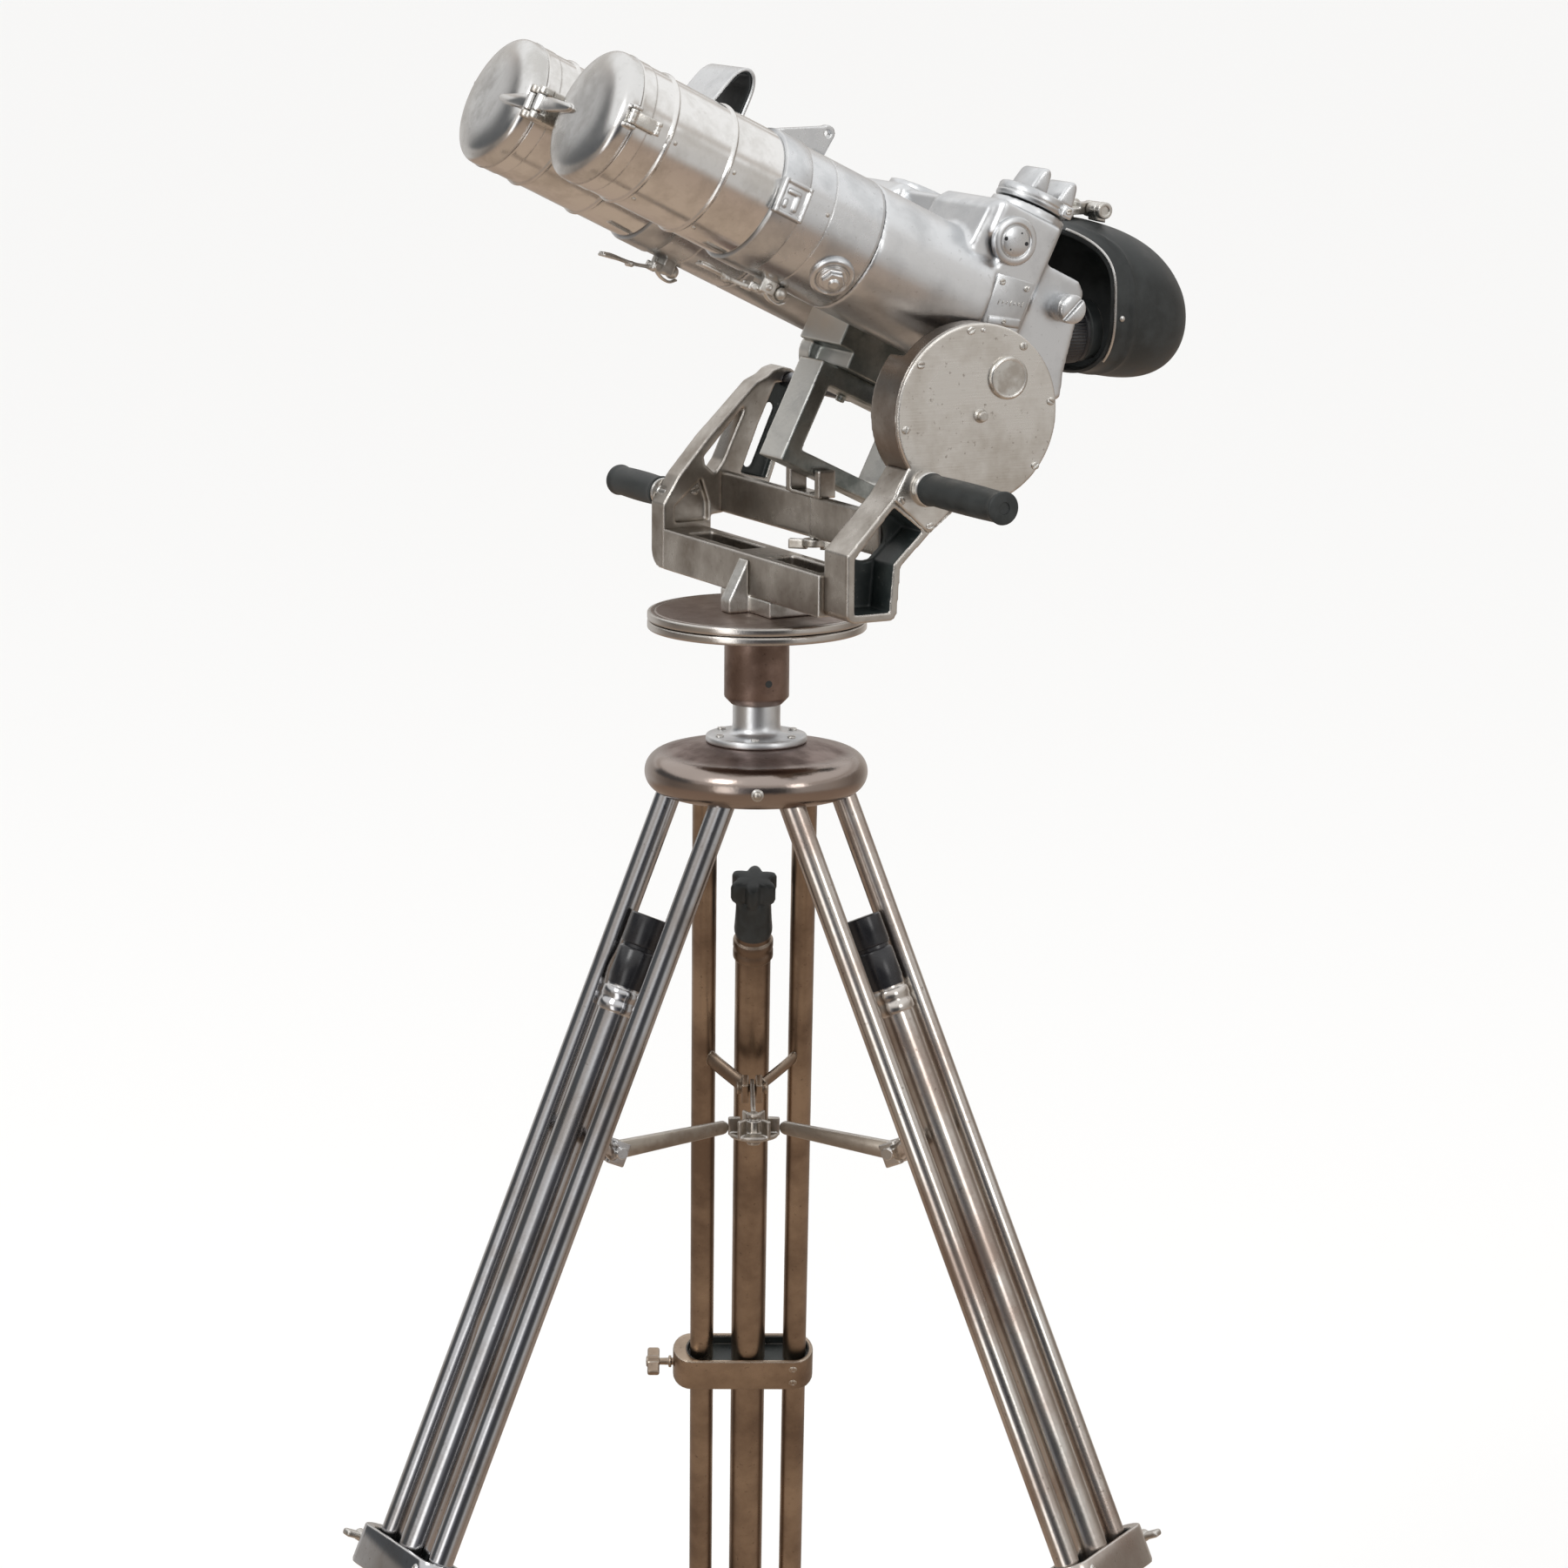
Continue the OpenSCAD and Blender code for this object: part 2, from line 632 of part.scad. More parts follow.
module lid() {
    round_r = 13;
    face_u = hood_front - lid_depth;
    rim_u = hood_front - gap;
    outer = hood_r + 0.7;
    strap_u = face_u - 3.5;
    difference() {
        union() {
            rod_y(face_u + round_r, rim_u, outer, barrel_x, barrel_w);
            rod_y(face_u, rim_u, outer - round_r, barrel_x, barrel_w);
            translate([barrel_x, face_u + round_r, barrel_w]) rotate([90, 0, 0])
                rotate_extrude() translate([outer - round_r, 0]) circle(round_r);
        }
        rod_y(face_u + round_r, rim_u + 30, outer - lid_wall, barrel_x, barrel_w);
        rod_y(face_u + lid_wall, rim_u + 30, outer - round_r, barrel_x, barrel_w);
        translate([barrel_x, face_u + round_r, barrel_w]) rotate([90, 0, 0])
            rotate_extrude() translate([outer - round_r, 0]) circle(round_r - lid_wall);
        rod_y(rim_u, rim_u + 30, outer + 1, barrel_x, barrel_w);
    }
    // Strap over the face, out to its knuckle
    difference() {
        union() {
            block([hinge_x, strap_u, barrel_w - 5], [56, face_u + 0.5, barrel_w + 5]);
            rod_z(barrel_w - 6, barrel_w + 6, 4, hinge_x, hinge_u);
        }
        rod_z(barrel_w - 7, barrel_w + 7, lid_pin_r + running, hinge_x, hinge_u);
    }
    // Ears and pin of the catch on the outer edge
    for (z = [[-4, -1.5], [9.5, 12]])
        block([barrel_x + 44, -334, barrel_w + z[0]], [barrel_x + 53.5, rim_u - 1, barrel_w + z[1]]);
    rod_z(barrel_w - 4, barrel_w + 12, 1.5, barrel_x + 51.5, -331);
}
module left_lid() {
    color("#c2c3c4") in_body() lid();
}
module right_lid() {
    color("#c2c3c4") in_body() mirrored_x(-1) lid();
}

module lid_catch() {
    pin_x = barrel_x + 51.5;
    difference() {
        union() {
            rod_z(barrel_w - 1, barrel_w + 9, 2.9, pin_x, -331);
            block([pin_x - 1.2, -331, barrel_w - 1], [pin_x + 1.6, -306, barrel_w + 9]);
        }
        rod_z(barrel_w - 2, barrel_w + 10, 1.5 + running, pin_x, -331);
    }
}
module left_lid_catch() {
    color("#aeb0b0") in_body() lid_catch();
}
module right_lid_catch() {
    color("#aeb0b0") in_body() mirrored_x(-1) lid_catch();
}

module latch() {
    difference() {
        union() {
            rod_x(barrel_x - 3.7, barrel_x + 3.7, 3, latch_u, latch_w);
            block([barrel_x - 3.7, latch_u - 40, latch_w - 2.5],
                  [barrel_x + 3.7, latch_u, latch_w + 0.5]);
            block([barrel_x - 6, latch_u - 44, latch_w - 3],
                  [barrel_x + 6, latch_u - 24, latch_w + 0.5]);
        }
        rod_x(barrel_x - 8, barrel_x + 8, 1.5 + running, latch_u, latch_w);
    }
}
module left_latch() {
    color("#b0aca4") in_body() latch();
}
module right_latch() {
    color("#b0aca4") in_body() mirrored_x(-1) translate([0, latch_u, latch_w])
        rotate([latch_drop, 0, 0]) translate([0, -latch_u, -latch_w]) latch();
}

module filter_knob() {
    color("#b4b6b6") in_body() {
        rod_z(158, 169, 26.5, barrel_x, knob_u);
        rod_z(111, 159, 4, barrel_x, knob_u);
        for (u = [-3, 21])
            side_plate(barrel_x - 16, barrel_x + 16) polygon([[u, 168], [u + 3, 182], [u + 9, 186],
                [u + 13, 180], [u + 15, 168]]);
    }
}
module filter_carrier() {
    color("#7d8a5c") in_body() {
        rod_z(108, 111, 20, barrel_x, knob_u);
    }
}

module eyepiece(side) {
    color("#2a2c2d") on_disc() {
        rod_y(196, 240, 18, side * eye_x, eye_z);
        rod_y(218, 244, eye_r, side * eye_x, eye_z);
    }
}
module left_eyepiece() {
    eyepiece(1);
}
module right_eyepiece() {
    eyepiece(-1);
}
module eyecup(side) {
    color("#151718") on_disc() difference() {
        rod_y(244, 256, eye_r - 1, side * eye_x, eye_z);
        rod_y(248, 257, eye_r - 6, side * eye_x, eye_z);
    }
}
module left_eyecup() {
    eyecup(1);
}
module right_eyecup() {
    eyecup(-1);
}

module face_shield_arm() {
    color("#9a9c9c") on_disc() difference() {
        both_sides() {
            rod_x(16, 28, 6, shield_y, shield_z);
            block([16, shield_y - 4, 262], [28, shield_y + 4, shield_z]);
        }
        rod_x(-40, 40, 3 + running, shield_y, shield_z);
        side_plate(-40, 40) polygon(shield_side);
    }
}

module face_shield_rim() {
    color("#b4b5b5") on_disc() both_sides() side_plate(shield_x, shield_x + 1.5)
        polygon(shield_edge);
}
function mirrored_points(p) = concat(p, [for (i = [len(p) - 1:-1:0]) [-p[i][0], p[i][1]]]);
module shield_form(side_view, plan_view) {
    intersection() {
        side_plate(-shield_x - 1, shield_x + 1) polygon(side_view);
        translate([0, 0, 150]) linear_extrude(130) polygon(mirrored_points(plan_view));
    }
}
module face_shield_rubber() {
    color("#14181a") on_disc() difference() {
        shield_form(shield_side, shield_plan);
        shield_form(shield_room, shield_bay);
    }
}

function collar_at(k) = collar_t + (k == 0 ? 0 : front_drop);

module leg_frame(k) {
    collar = collar_at(k);
    guide_low = side_tube_len;
    guide_high = side_tube_len - 36;
    strap_turn = 139.3;
    side = wing_side[k];
    color("#a59a8c") on_leg(k) difference() {
        union() {
            for (s = [-1, 1]) {
                rod_z(-side_tube_len, 0, side_tube_r, 0, s * side_tube_y);
                translate([0, s * 29, 0]) rotate([90, 0, 0])
                    cylinder(h = 22, r = side_tube_r, center = true);
                // Ear and strap of the bracket that carries the spreader bar
                block([pivot_n - 7, s > 0 ? 2.5 : -8, -pivot_t - 10],
                      [pivot_n + 7, s > 0 ? 8 : -2.5, -pivot_t + 8]);
                translate([0, s * side_tube_y, -pivot_t - 9]) rotate([0, 0, -s * strap_turn])
                    translate([side_tube_r - 1, -1.5, 0]) cube([39, 3, 16]);
            }
            rotate([90, 0, 0]) cylinder(h = 80, r = leg_pin_r, center = true);
            translate([pivot_n, 0, -pivot_t]) rotate([90, 0, 0])
                cylinder(h = 17, r = 3, center = true);
            block([-15, -side_tube_y, -guide_low], [15, side_tube_y, -guide_high]);
            block([-18.5, side > 0 ? -52 : -60, -collar - collar_h],
                  [18.5, side > 0 ? 60 : 52, -collar]);
        }
        rod_z(-side_tube_len - 1, -collar + 1, centre_tube_r + running);
        translate([0, 0, -collar - collar_h / 2]) rotate([-90 * side, 0, 0])
            cylinder(h = 70, r = 3 + running);
    }
}

module leg_slide(k) {
    knob_top = 101;
    ferrule = 174;
    foot_top = 1000;
    color("#8b7c69") intersection() {
        on_leg(k) {
            rod_z(-foot_top, -ferrule + 30, centre_tube_r);
            rod_z(-ferrule, -ferrule + 16, centre_tube_r + 1.8);
            rod_z(-159, -knob_top, k == 0 ? 19 : 14.5);
            rod_z(-leg_len - 12, -foot_top + eps, 16.5);
        }
        block([-900, -900, 0], [900, 900, disc_z]);
    }
}

module leg_wing_screw(k) {
    side = wing_side[k];
    color("#b0a898") on_leg(k) translate([0, 0, -collar_at(k) - collar_h / 2]) rotate([-90 * side, 0, 0]) {
        rod_z(centre_tube_r + 1, 70, 3);
        rod_z(60.5, 68, 6);
        for (s = [-1, 1]) translate([0, s * 9, 74]) rotate([0, 90, 0])
            cylinder(h = 5, r = 8, center = true);
    }
}

module spreader_bar(k) {
    color("#8a7f74") on_leg(k) translate([pivot_n, 0, -pivot_t])
        rotate([0, leg_angle + 180 + bar_rise, 0]) rotate([-90, 0, 0]) difference() {
            translate([0, 0, -1.5]) linear_extrude(3) {
                circle(7);
                translate([bar_len - 5, 0]) circle(5);
                polygon([[0, -7], [bar_len - 5, -5], [bar_len - 5, 5], [0, 7]]);
            }
            translate([0, 0, -5]) cylinder(h = 10, r = 3 + running);
        }
}

module spreader_hub() {
    // Three ears stand on a plate, with a slot between them for each bar
    ear = [[3, 0], [12, 15.8], [17, 11], [20, 0], [17, -11], [12, -15.8]];
    color("#8f8a82") on_disc() translate([0, 0, spread_z]) {
        rod_z(-14, -10.5, 9);
        rod_z(-17, -14, 5);
        for (k = [0:2]) rotate([0, 0, back_leg_az + 60 + 120 * k]) translate([0, 0, -11])
            linear_extrude(17) polygon(ear);
    }
}

tripod_head();
stand_screws();
column_flange();
turntable_base();
turntable_disc();
azimuth_shaft();
yoke_pedestal();
yoke_front_beam();
yoke_rear_beam();
left_yoke_arm();
right_yoke_arm();
drum_housing();
drum_cover();
drum_fittings();
balance_spring();
handle_rods();
handle_grips();
elevation_clamp();
elevation_wing_screw();
elevation_shaft();
cradle_frame();
saddle_block();
left_barrel();
right_barrel();
body_casting();
objective_hoods();
optics();
lid_hinge_bracket();
sight_hood();
sight_lug();
side_fittings();
shield_bracket();
left_lid();
right_lid();
left_lid_catch();
right_lid_catch();
left_latch();
right_latch();
filter_knob();
filter_carrier();
left_eyepiece();
right_eyepiece();
left_eyecup();
right_eyecup();
face_shield_arm();
face_shield_rim();
face_shield_rubber();
leg_frame(0);  // leg_a_frame
leg_frame(1);  // leg_b_frame
leg_frame(2);  // leg_c_frame
leg_slide(0);  // leg_a_slide
leg_slide(1);  // leg_b_slide
leg_slide(2);  // leg_c_slide
leg_wing_screw(0);  // leg_a_wing_screw
leg_wing_screw(1);  // leg_b_wing_screw
leg_wing_screw(2);  // leg_c_wing_screw
spreader_bar(0);  // spreader_bar_a
spreader_bar(1);  // spreader_bar_b
spreader_bar(2);  // spreader_bar_c
spreader_hub();
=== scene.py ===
# %% [markdown]
# # Large observation binoculars on a tripod
# The object is a pair of big deck binoculars on a fork mount and a stand of bright
# tubes. Nearly everything is metal: polished aluminium, turned steel with a brown
# patina, and sand-cast arms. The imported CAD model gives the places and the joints;
# this script gives the surfaces.
# The world is in metres with +Z up. The objectives look along -Y, and the user's
# left hand is at +X, which is the near side in the picture. Shapes are worked out
# in millimetres, and one function for each place carries them to the world.

# %% Load the frame
import json
import math

import bmesh
import bpy
import numpy as np
from mathutils import Matrix, Vector


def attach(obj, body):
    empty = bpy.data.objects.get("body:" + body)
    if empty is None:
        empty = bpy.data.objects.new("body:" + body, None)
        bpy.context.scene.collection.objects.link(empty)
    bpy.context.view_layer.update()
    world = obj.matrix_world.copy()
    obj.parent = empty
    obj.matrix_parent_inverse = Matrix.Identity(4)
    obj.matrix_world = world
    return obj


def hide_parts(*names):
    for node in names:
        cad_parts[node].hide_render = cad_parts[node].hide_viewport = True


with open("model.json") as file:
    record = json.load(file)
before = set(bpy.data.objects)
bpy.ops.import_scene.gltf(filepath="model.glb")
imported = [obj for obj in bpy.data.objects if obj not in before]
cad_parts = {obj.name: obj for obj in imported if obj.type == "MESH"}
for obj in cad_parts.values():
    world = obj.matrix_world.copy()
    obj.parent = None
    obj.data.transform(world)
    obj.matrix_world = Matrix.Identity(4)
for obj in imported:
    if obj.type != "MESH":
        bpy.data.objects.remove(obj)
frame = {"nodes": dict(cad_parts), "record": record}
RECORD = frame["record"]
NODES = frame["nodes"]
BODY_OF = {n: b for b, ns in RECORD["behaviour"]["bodies"].items() for n in ns}
SLOT_OF = {s["node"]: s["material_slot"] for s in RECORD["subparts"]}
SLOTS = {m["slot"] for m in RECORD["materials"]}
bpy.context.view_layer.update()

# %% Objects and shader nodes
FINISH = {}


def new_object(name, data):
    """A new object in the scene around a mesh, a lamp or a camera."""
    obj = bpy.data.objects.new(name, data)
    bpy.context.scene.collection.objects.link(obj)
    return obj


def feed(nt, target, sockets):
    """Fills a node's sockets, by name or number: an output is linked, a value is set."""
    for key, value in sockets.items():
        socket = target.inputs[key]
        if isinstance(value, bpy.types.NodeSocket):
            nt.links.new(value, socket)
        else:
            socket.default_value = (*value, 1) if socket.type == "RGBA" else value


def node(nt, kind, sockets=None, **settings):
    """A new shader node with its sockets filled; gives back its outputs."""
    new = nt.nodes.new("ShaderNode" + kind)
    for key, value in settings.items():
        setattr(new, key, value)
    feed(nt, new, sockets or {})
    return new.outputs


def new_material(name):
    """A new finish: its node tree and its shader."""
    mat = bpy.data.materials.new(name)
    mat.use_nodes = True
    FINISH[name] = mat
    return mat.node_tree, mat.node_tree.nodes["Principled BSDF"]


def ramp_between(nt, fac, stops):
    """A colour ramp with the given (position, colour) stops, driven by fac."""
    ramp = nt.nodes.new("ShaderNodeValToRGB")
    el = ramp.color_ramp.elements
    while len(el) < len(stops):
        el.new(0.5)
    for e, (p, c) in zip(el, stops):
        e.position = p
        e.color = (*c, 1)
    feed(nt, ramp, {"Fac": fac})
    return ramp.outputs["Color"]


def ranged(nt, fac, low, high, to_low, to_high):
    """fac from low..high carried to to_low..to_high, held at the ends."""
    return node(nt, "MapRange", {"Value": fac, "From Min": low, "From Max": high,
                                 "To Min": to_low, "To Max": to_high})["Result"]


def mixed(nt, fac, a, b):
    """Colour a where fac is 0 and colour b where it is 1; a or b may be a socket."""
    return node(nt, "Mix", {0: fac, 6: a, 7: b}, data_type="RGBA")[2]


# %% [markdown]
# ## The camera
# A long lens stands 3.6 m away, a little above the turntable, and looks at the user's
# left side. The angles come from the ellipses of the round parts and from the
# straight legs. The view direction is built by turning a horizontal line twice, and
# the picture is then rolled by less than half a degree.

# %% Camera
PICTURE = 1802
FOCAL_PX = 5853.84
SENSOR = 36.0
DISC_HEIGHT = 1.1
UP = Vector((0, 0, 1))


def turned(v, axis, angle):
    """The vector v turned about an axis by the right-hand rule."""
    return Matrix.Rotation(angle, 3, axis) @ v


def place_camera(distance=3.6306, height=0.6145, azimuth=61.927, roll=0.433, aim=(868.204, 701.466)):
    """Aims at the disc's centre, then shifts that point to the pixel `aim`."""
    az = math.radians(azimuth)
    offset = Vector((distance * math.sin(az), -distance * math.cos(az), height))
    ax = math.atan((aim[0] - PICTURE / 2) / FOCAL_PX)
    ay = math.atan(-(aim[1] - PICTURE / 2) / FOCAL_PX * math.cos(ax))
    forward = turned(-offset.normalized(), UP, ax)
    right = forward.cross(UP).normalized()
    forward = turned(forward, right, -ay)
    up = right.cross(forward)
    r = math.radians(roll)
    right, up = right * math.cos(r) + up * math.sin(r), up * math.cos(r) - right * math.sin(r)
    cam = new_object("view", bpy.data.cameras.new("view"))
    cam.data.sensor_width = SENSOR
    cam.data.lens = FOCAL_PX / PICTURE * SENSOR
    cam.data.clip_end = 400.0
    turn = Matrix((right, up, -forward)).transposed().to_4x4()
    cam.matrix_world = Matrix.Translation(UP * DISC_HEIGHT + offset) @ turn
    bpy.context.scene.camera = cam
    return cam


camera = place_camera()
print("camera", tuple(round(v, 4) for v in camera.location), "lens", round(camera.data.lens, 2))

# %% [markdown]
# ## Studio
# Polished metal shows its room more than its own colour, so the room is what makes
# the barrels and the legs. Overhead it is white, with one tan band. Round the walls a
# bright window and a dark doorway stand side by side, and each tube shows them as a
# white and a dark streak. A dark screen stands before the lids. Below is a warm
# wooden tone, which gives the barrels their tan undersides. The pale floor is seen
# by the camera and catches the light, and is left out of the reflections.

# %% Room tones
BLACK, WHITE = (0, 0, 0), (1, 1, 1)
OVERHEAD = [(0.0, (0.50, 0.39, 0.30)), (0.25, (0.44, 0.34, 0.27)), (0.36, (0.36, 0.29, 0.24)),
            (0.60, (0.62, 0.60, 0.58)), (0.645, WHITE), (0.685, (0.50, 0.44, 0.39)),
            (0.725, (1.05, 1.05, 1.05)), (1.0, (1.1, 1.1, 1.1))]
WALLS = [(0.0, (0.66, 0.64, 0.62)), (0.055, (0.62, 0.60, 0.58)), (0.09, (0.40, 0.37, 0.34)),
         (0.15, (0.24, 0.21, 0.19)), (0.245, (0.34, 0.30, 0.26)), (0.300, (0.42, 0.37, 0.33)),
         (0.312, (2.3, 2.25, 2.2)), (0.352, (2.3, 2.3, 2.3)), (0.368, (0.40, 0.40, 0.42)),
         (0.425, (0.07, 0.07, 0.08)), (0.505, (0.10, 0.10, 0.10)), (0.545, (0.64, 0.63, 0.62)),
         (0.66, (0.56, 0.52, 0.48)), (0.76, (0.28, 0.24, 0.21)), (0.86, (0.62, 0.57, 0.52)),
         (0.93, (0.50, 0.47, 0.44)), (1.0, (0.66, 0.64, 0.62))]
SCREEN_TONE = (0.12, 0.125, 0.13)


def gate(rise, full, fall, gone):
    """Stops of a ramp that is white between two edges and black outside them."""
    return [(rise, BLACK), (full, WHITE), (fall, WHITE), (gone, BLACK)]


WALL_SPAN = gate(0.30, 0.38, 0.615, 0.635)
SCREEN_ROUND = gate(0.052, 0.064, 0.21, 0.24)
SCREEN_UP = gate(0.545, 0.575, 0.685, 0.72)


# %% Room, floor and lamps
def studio_world(strength, seen=1.0):
    """Tone by the ray's height, and round the walls by its compass angle atan2(y, x)."""
    world = bpy.data.worlds.new("studio")
    bpy.context.scene.world = world
    world.use_nodes = True
    nt = world.node_tree
    nt.nodes.clear()
    ray = node(nt, "SeparateXYZ", {0: node(nt, "TexCoord")["Generated"]})
    compass = node(nt, "Math", {0: ray["Y"], 1: ray["X"]}, operation="ARCTAN2")[0]
    height = ranged(nt, ray["Z"], -1, 1, 0, 1)
    around = ranged(nt, compass, -math.pi, math.pi, 0, 1)
    tone = mixed(nt, ramp_between(nt, height, WALL_SPAN), ramp_between(nt, height, OVERHEAD),
                 ramp_between(nt, around, WALLS))
    screen = node(nt, "Math", {0: ramp_between(nt, around, SCREEN_ROUND),
                               1: ramp_between(nt, height, SCREEN_UP)}, operation="MULTIPLY")[0]
    room = node(nt, "Background", {"Color": mixed(nt, screen, tone, SCREEN_TONE), "Strength": strength})
    plain = node(nt, "Background", {"Color": (seen, seen, seen)})
    to_camera = node(nt, "LightPath")["Is Camera Ray"]
    node(nt, "OutputWorld", {0: node(nt, "MixShader", {0: to_camera, 1: room[0], 2: plain[0]})[0]})


def soft_lamp(name, at, towards, size, watts):
    """A square area lamp at a point, facing another point."""
    lamp = new_object(name, bpy.data.lights.new(name, "AREA"))
    lamp.data.shape = "SQUARE"
    lamp.data.size = size
    lamp.data.energy = watts
    lamp.location = at
    lamp.rotation_euler = (Vector(towards) - Vector(at)).to_track_quat("-Z", "Y").to_euler()


def pale_floor(half=160.0):
    """A wide matt floor; it takes light and shadow and is not seen in the metal."""
    mesh = bpy.data.meshes.new("floor")
    mesh.from_pydata([(-half, -half, 0), (half, -half, 0), (half, half, 0), (-half, half, 0)], [],
                     [(0, 1, 2, 3)])
    obj = new_object("floor", mesh)
    obj.visible_glossy = False
    nt, shader = new_material("pale_floor")
    feed(nt, shader, {"Base Color": (0.90, 0.90, 0.895), "Roughness": 1.0, "Specular IOR Level": 0.0})
    mesh.materials.append(FINISH["pale_floor"])


bpy.context.scene.view_settings.view_transform = "Standard"
studio_world(1.05)
soft_lamp("key", (1.4, -3.6, 4.2), (0, 0, 1.2), 1.6, 60)
soft_lamp("side", (4.2, 1.2, 2.4), (0, 0, 1.1), 1.2, 18)
pale_floor()

# %% [markdown]
# ## Metals
# One recipe serves all the metals here. The colour runs between the clean metal and
# its stain by a large soft noise, small dark specks are pits and dirt, and a Bevel
# node finds the edges, which years of handling have rubbed bright. Roughness follows
# the same stain, because a patina is duller than a rubbed place. A stretched noise
# gives turning or brushing marks, and all patterns read Object coordinates, so they
# stay on the piece when it moves.

# %% The metal recipe
def grain(nt, coord, scale, detail=4.0, rough=0.6, stretch=(1, 1, 1), turn=(0, 0, 0)):
    """Noise on Object coordinates, stretched and turned by a Mapping node."""
    place = node(nt, "Mapping", {"Vector": coord, "Scale": stretch, "Rotation": turn})["Vector"]
    return node(nt, "TexNoise", {"Vector": place, "Scale": scale, "Detail": detail,
                                 "Roughness": rough})["Fac"]


def metal(name, clean, stain, dark, scale, gloss, bump, specks=0.25, stained=(0.45, 0.62),
          edge=(0.80, 0.79, 0.77), edge_radius=0.0016, edge_wear=0.8, bump_scale=420.0, brush=None,
          metallic=1.0, polish=None, bare=None):
    """Stained metal with dark specks and worn edges; polish is (from, to, colour) of the radius
    about the Z axis, and bare is (direction, colour) of the milled faces."""
    nt, shader = new_material(name)
    coord = node(nt, "TexCoord")["Object"]
    cloud = grain(nt, coord, scale, 6.0, 0.62)
    colour = ramp_between(nt, cloud, [(stained[0], clean), (stained[1], stain)])
    dots = grain(nt, coord, 260.0, 2.0)
    colour = mixed(nt, ranged(nt, dots, 0.66, 0.76, 0.0, specks), colour, dark)
    rounded = node(nt, "Bevel", {"Radius": edge_radius}, samples=4)["Normal"]
    along = node(nt, "VectorMath", {0: rounded, 1: node(nt, "NewGeometry")["Normal"]},
                 operation="DOT_PRODUCT")
    colour = mixed(nt, ranged(nt, along["Value"], 0.995, 0.90, 0.0, edge_wear), colour, edge)
    rough = ranged(nt, cloud, stained[0] - 0.05, stained[1] + 0.05, *gloss)
    if polish:
        level = node(nt, "VectorMath", {0: coord, 1: (1, 1, 0)}, operation="MULTIPLY")[0]
        radius = node(nt, "VectorMath", {0: level}, operation="LENGTH")["Value"]
        shine = ranged(nt, radius, polish[0], polish[1], 0.0, 0.85)
        colour = mixed(nt, shine, colour, polish[2])
        rough = node(nt, "Mix", {0: shine, 2: rough, 3: 0.16})[0]
    if bare:
        normal = node(nt, "TexCoord")["Normal"]
        milled_face = node(nt, "VectorMath", {0: normal, 1: bare[0]}, operation="DOT_PRODUCT")["Value"]
        colour = mixed(nt, ranged(nt, milled_face, 0.75, 0.95, 0.0, 0.9), colour, bare[1])
    fine = grain(nt, coord, 60.0, 3.0, **brush) if brush else grain(nt, coord, bump_scale, 3.0)
    raised = node(nt, "Bump", {"Strength": bump, "Distance": 0.0004, "Height": fine, "Normal": rounded})
    feed(nt, shader, {"Metallic": metallic, "Base Color": colour, "Roughness": rough,
                      "Normal": raised["Normal"]})


# %% [markdown]
# Each metal below is its clean colour, its stain, its dirt, the size of the stain's
# noise, the roughness of clean and stained places, and the height of its grain.

# %% Polished and turned metals
metal("hood_metal", (0.74, 0.73, 0.715), (0.60, 0.585, 0.56), (0.28, 0.25, 0.22), 26, (0.13, 0.24), 0.03,
      specks=0.15, edge_wear=0.4)
metal("lid_metal", (0.66, 0.655, 0.645), (0.53, 0.52, 0.50), (0.26, 0.24, 0.22), 24, (0.17, 0.30), 0.04,
      specks=0.20, edge_wear=0.4)
metal("barrel_alloy", (0.64, 0.65, 0.66), (0.50, 0.51, 0.52), (0.22, 0.21, 0.20), 22, (0.24, 0.38), 0.10,
      specks=0.3, edge_wear=0.6, bump_scale=700)
metal("casting_alloy", (0.66, 0.67, 0.68), (0.54, 0.55, 0.56), (0.24, 0.23, 0.22), 20, (0.28, 0.42), 0.14,
      specks=0.3, edge_wear=0.6, bump_scale=520, edge_radius=0.0025)
metal("fastener", (0.62, 0.605, 0.57), (0.43, 0.40, 0.36), (0.14, 0.12, 0.10), 60, (0.22, 0.42),
      0.10, specks=0.3)
metal("bright_steel", (0.66, 0.655, 0.64), (0.50, 0.485, 0.46), (0.20, 0.18, 0.16), 40, (0.20, 0.36), 0.06,
      specks=0.2)
metal("spring_steel", (0.20, 0.21, 0.23), (0.14, 0.14, 0.16), (0.05, 0.05, 0.05), 40, (0.25, 0.40), 0.05)
metal("bar_steel", (0.42, 0.38, 0.33), (0.29, 0.25, 0.21), (0.10, 0.08, 0.07), 36, (0.28, 0.46),
      0.14, specks=0.4)
metal("leg_bronze", (0.40, 0.315, 0.24), (0.215, 0.16, 0.12), (0.07, 0.05, 0.04), 14, (0.22, 0.44), 0.12,
      specks=0.5, edge=(0.62, 0.56, 0.48), stained=(0.36, 0.64))
metal("leg_chrome", (0.47, 0.47, 0.48), (0.30, 0.27, 0.25), (0.12, 0.09, 0.07), 13, (0.08, 0.22), 0.04,
      specks=0.4, stained=(0.48, 0.72))
metal("leg_worn", (0.56, 0.53, 0.495), (0.36, 0.29, 0.25), (0.13, 0.09, 0.07), 13, (0.13, 0.32), 0.06,
      specks=0.5, stained=(0.40, 0.66))

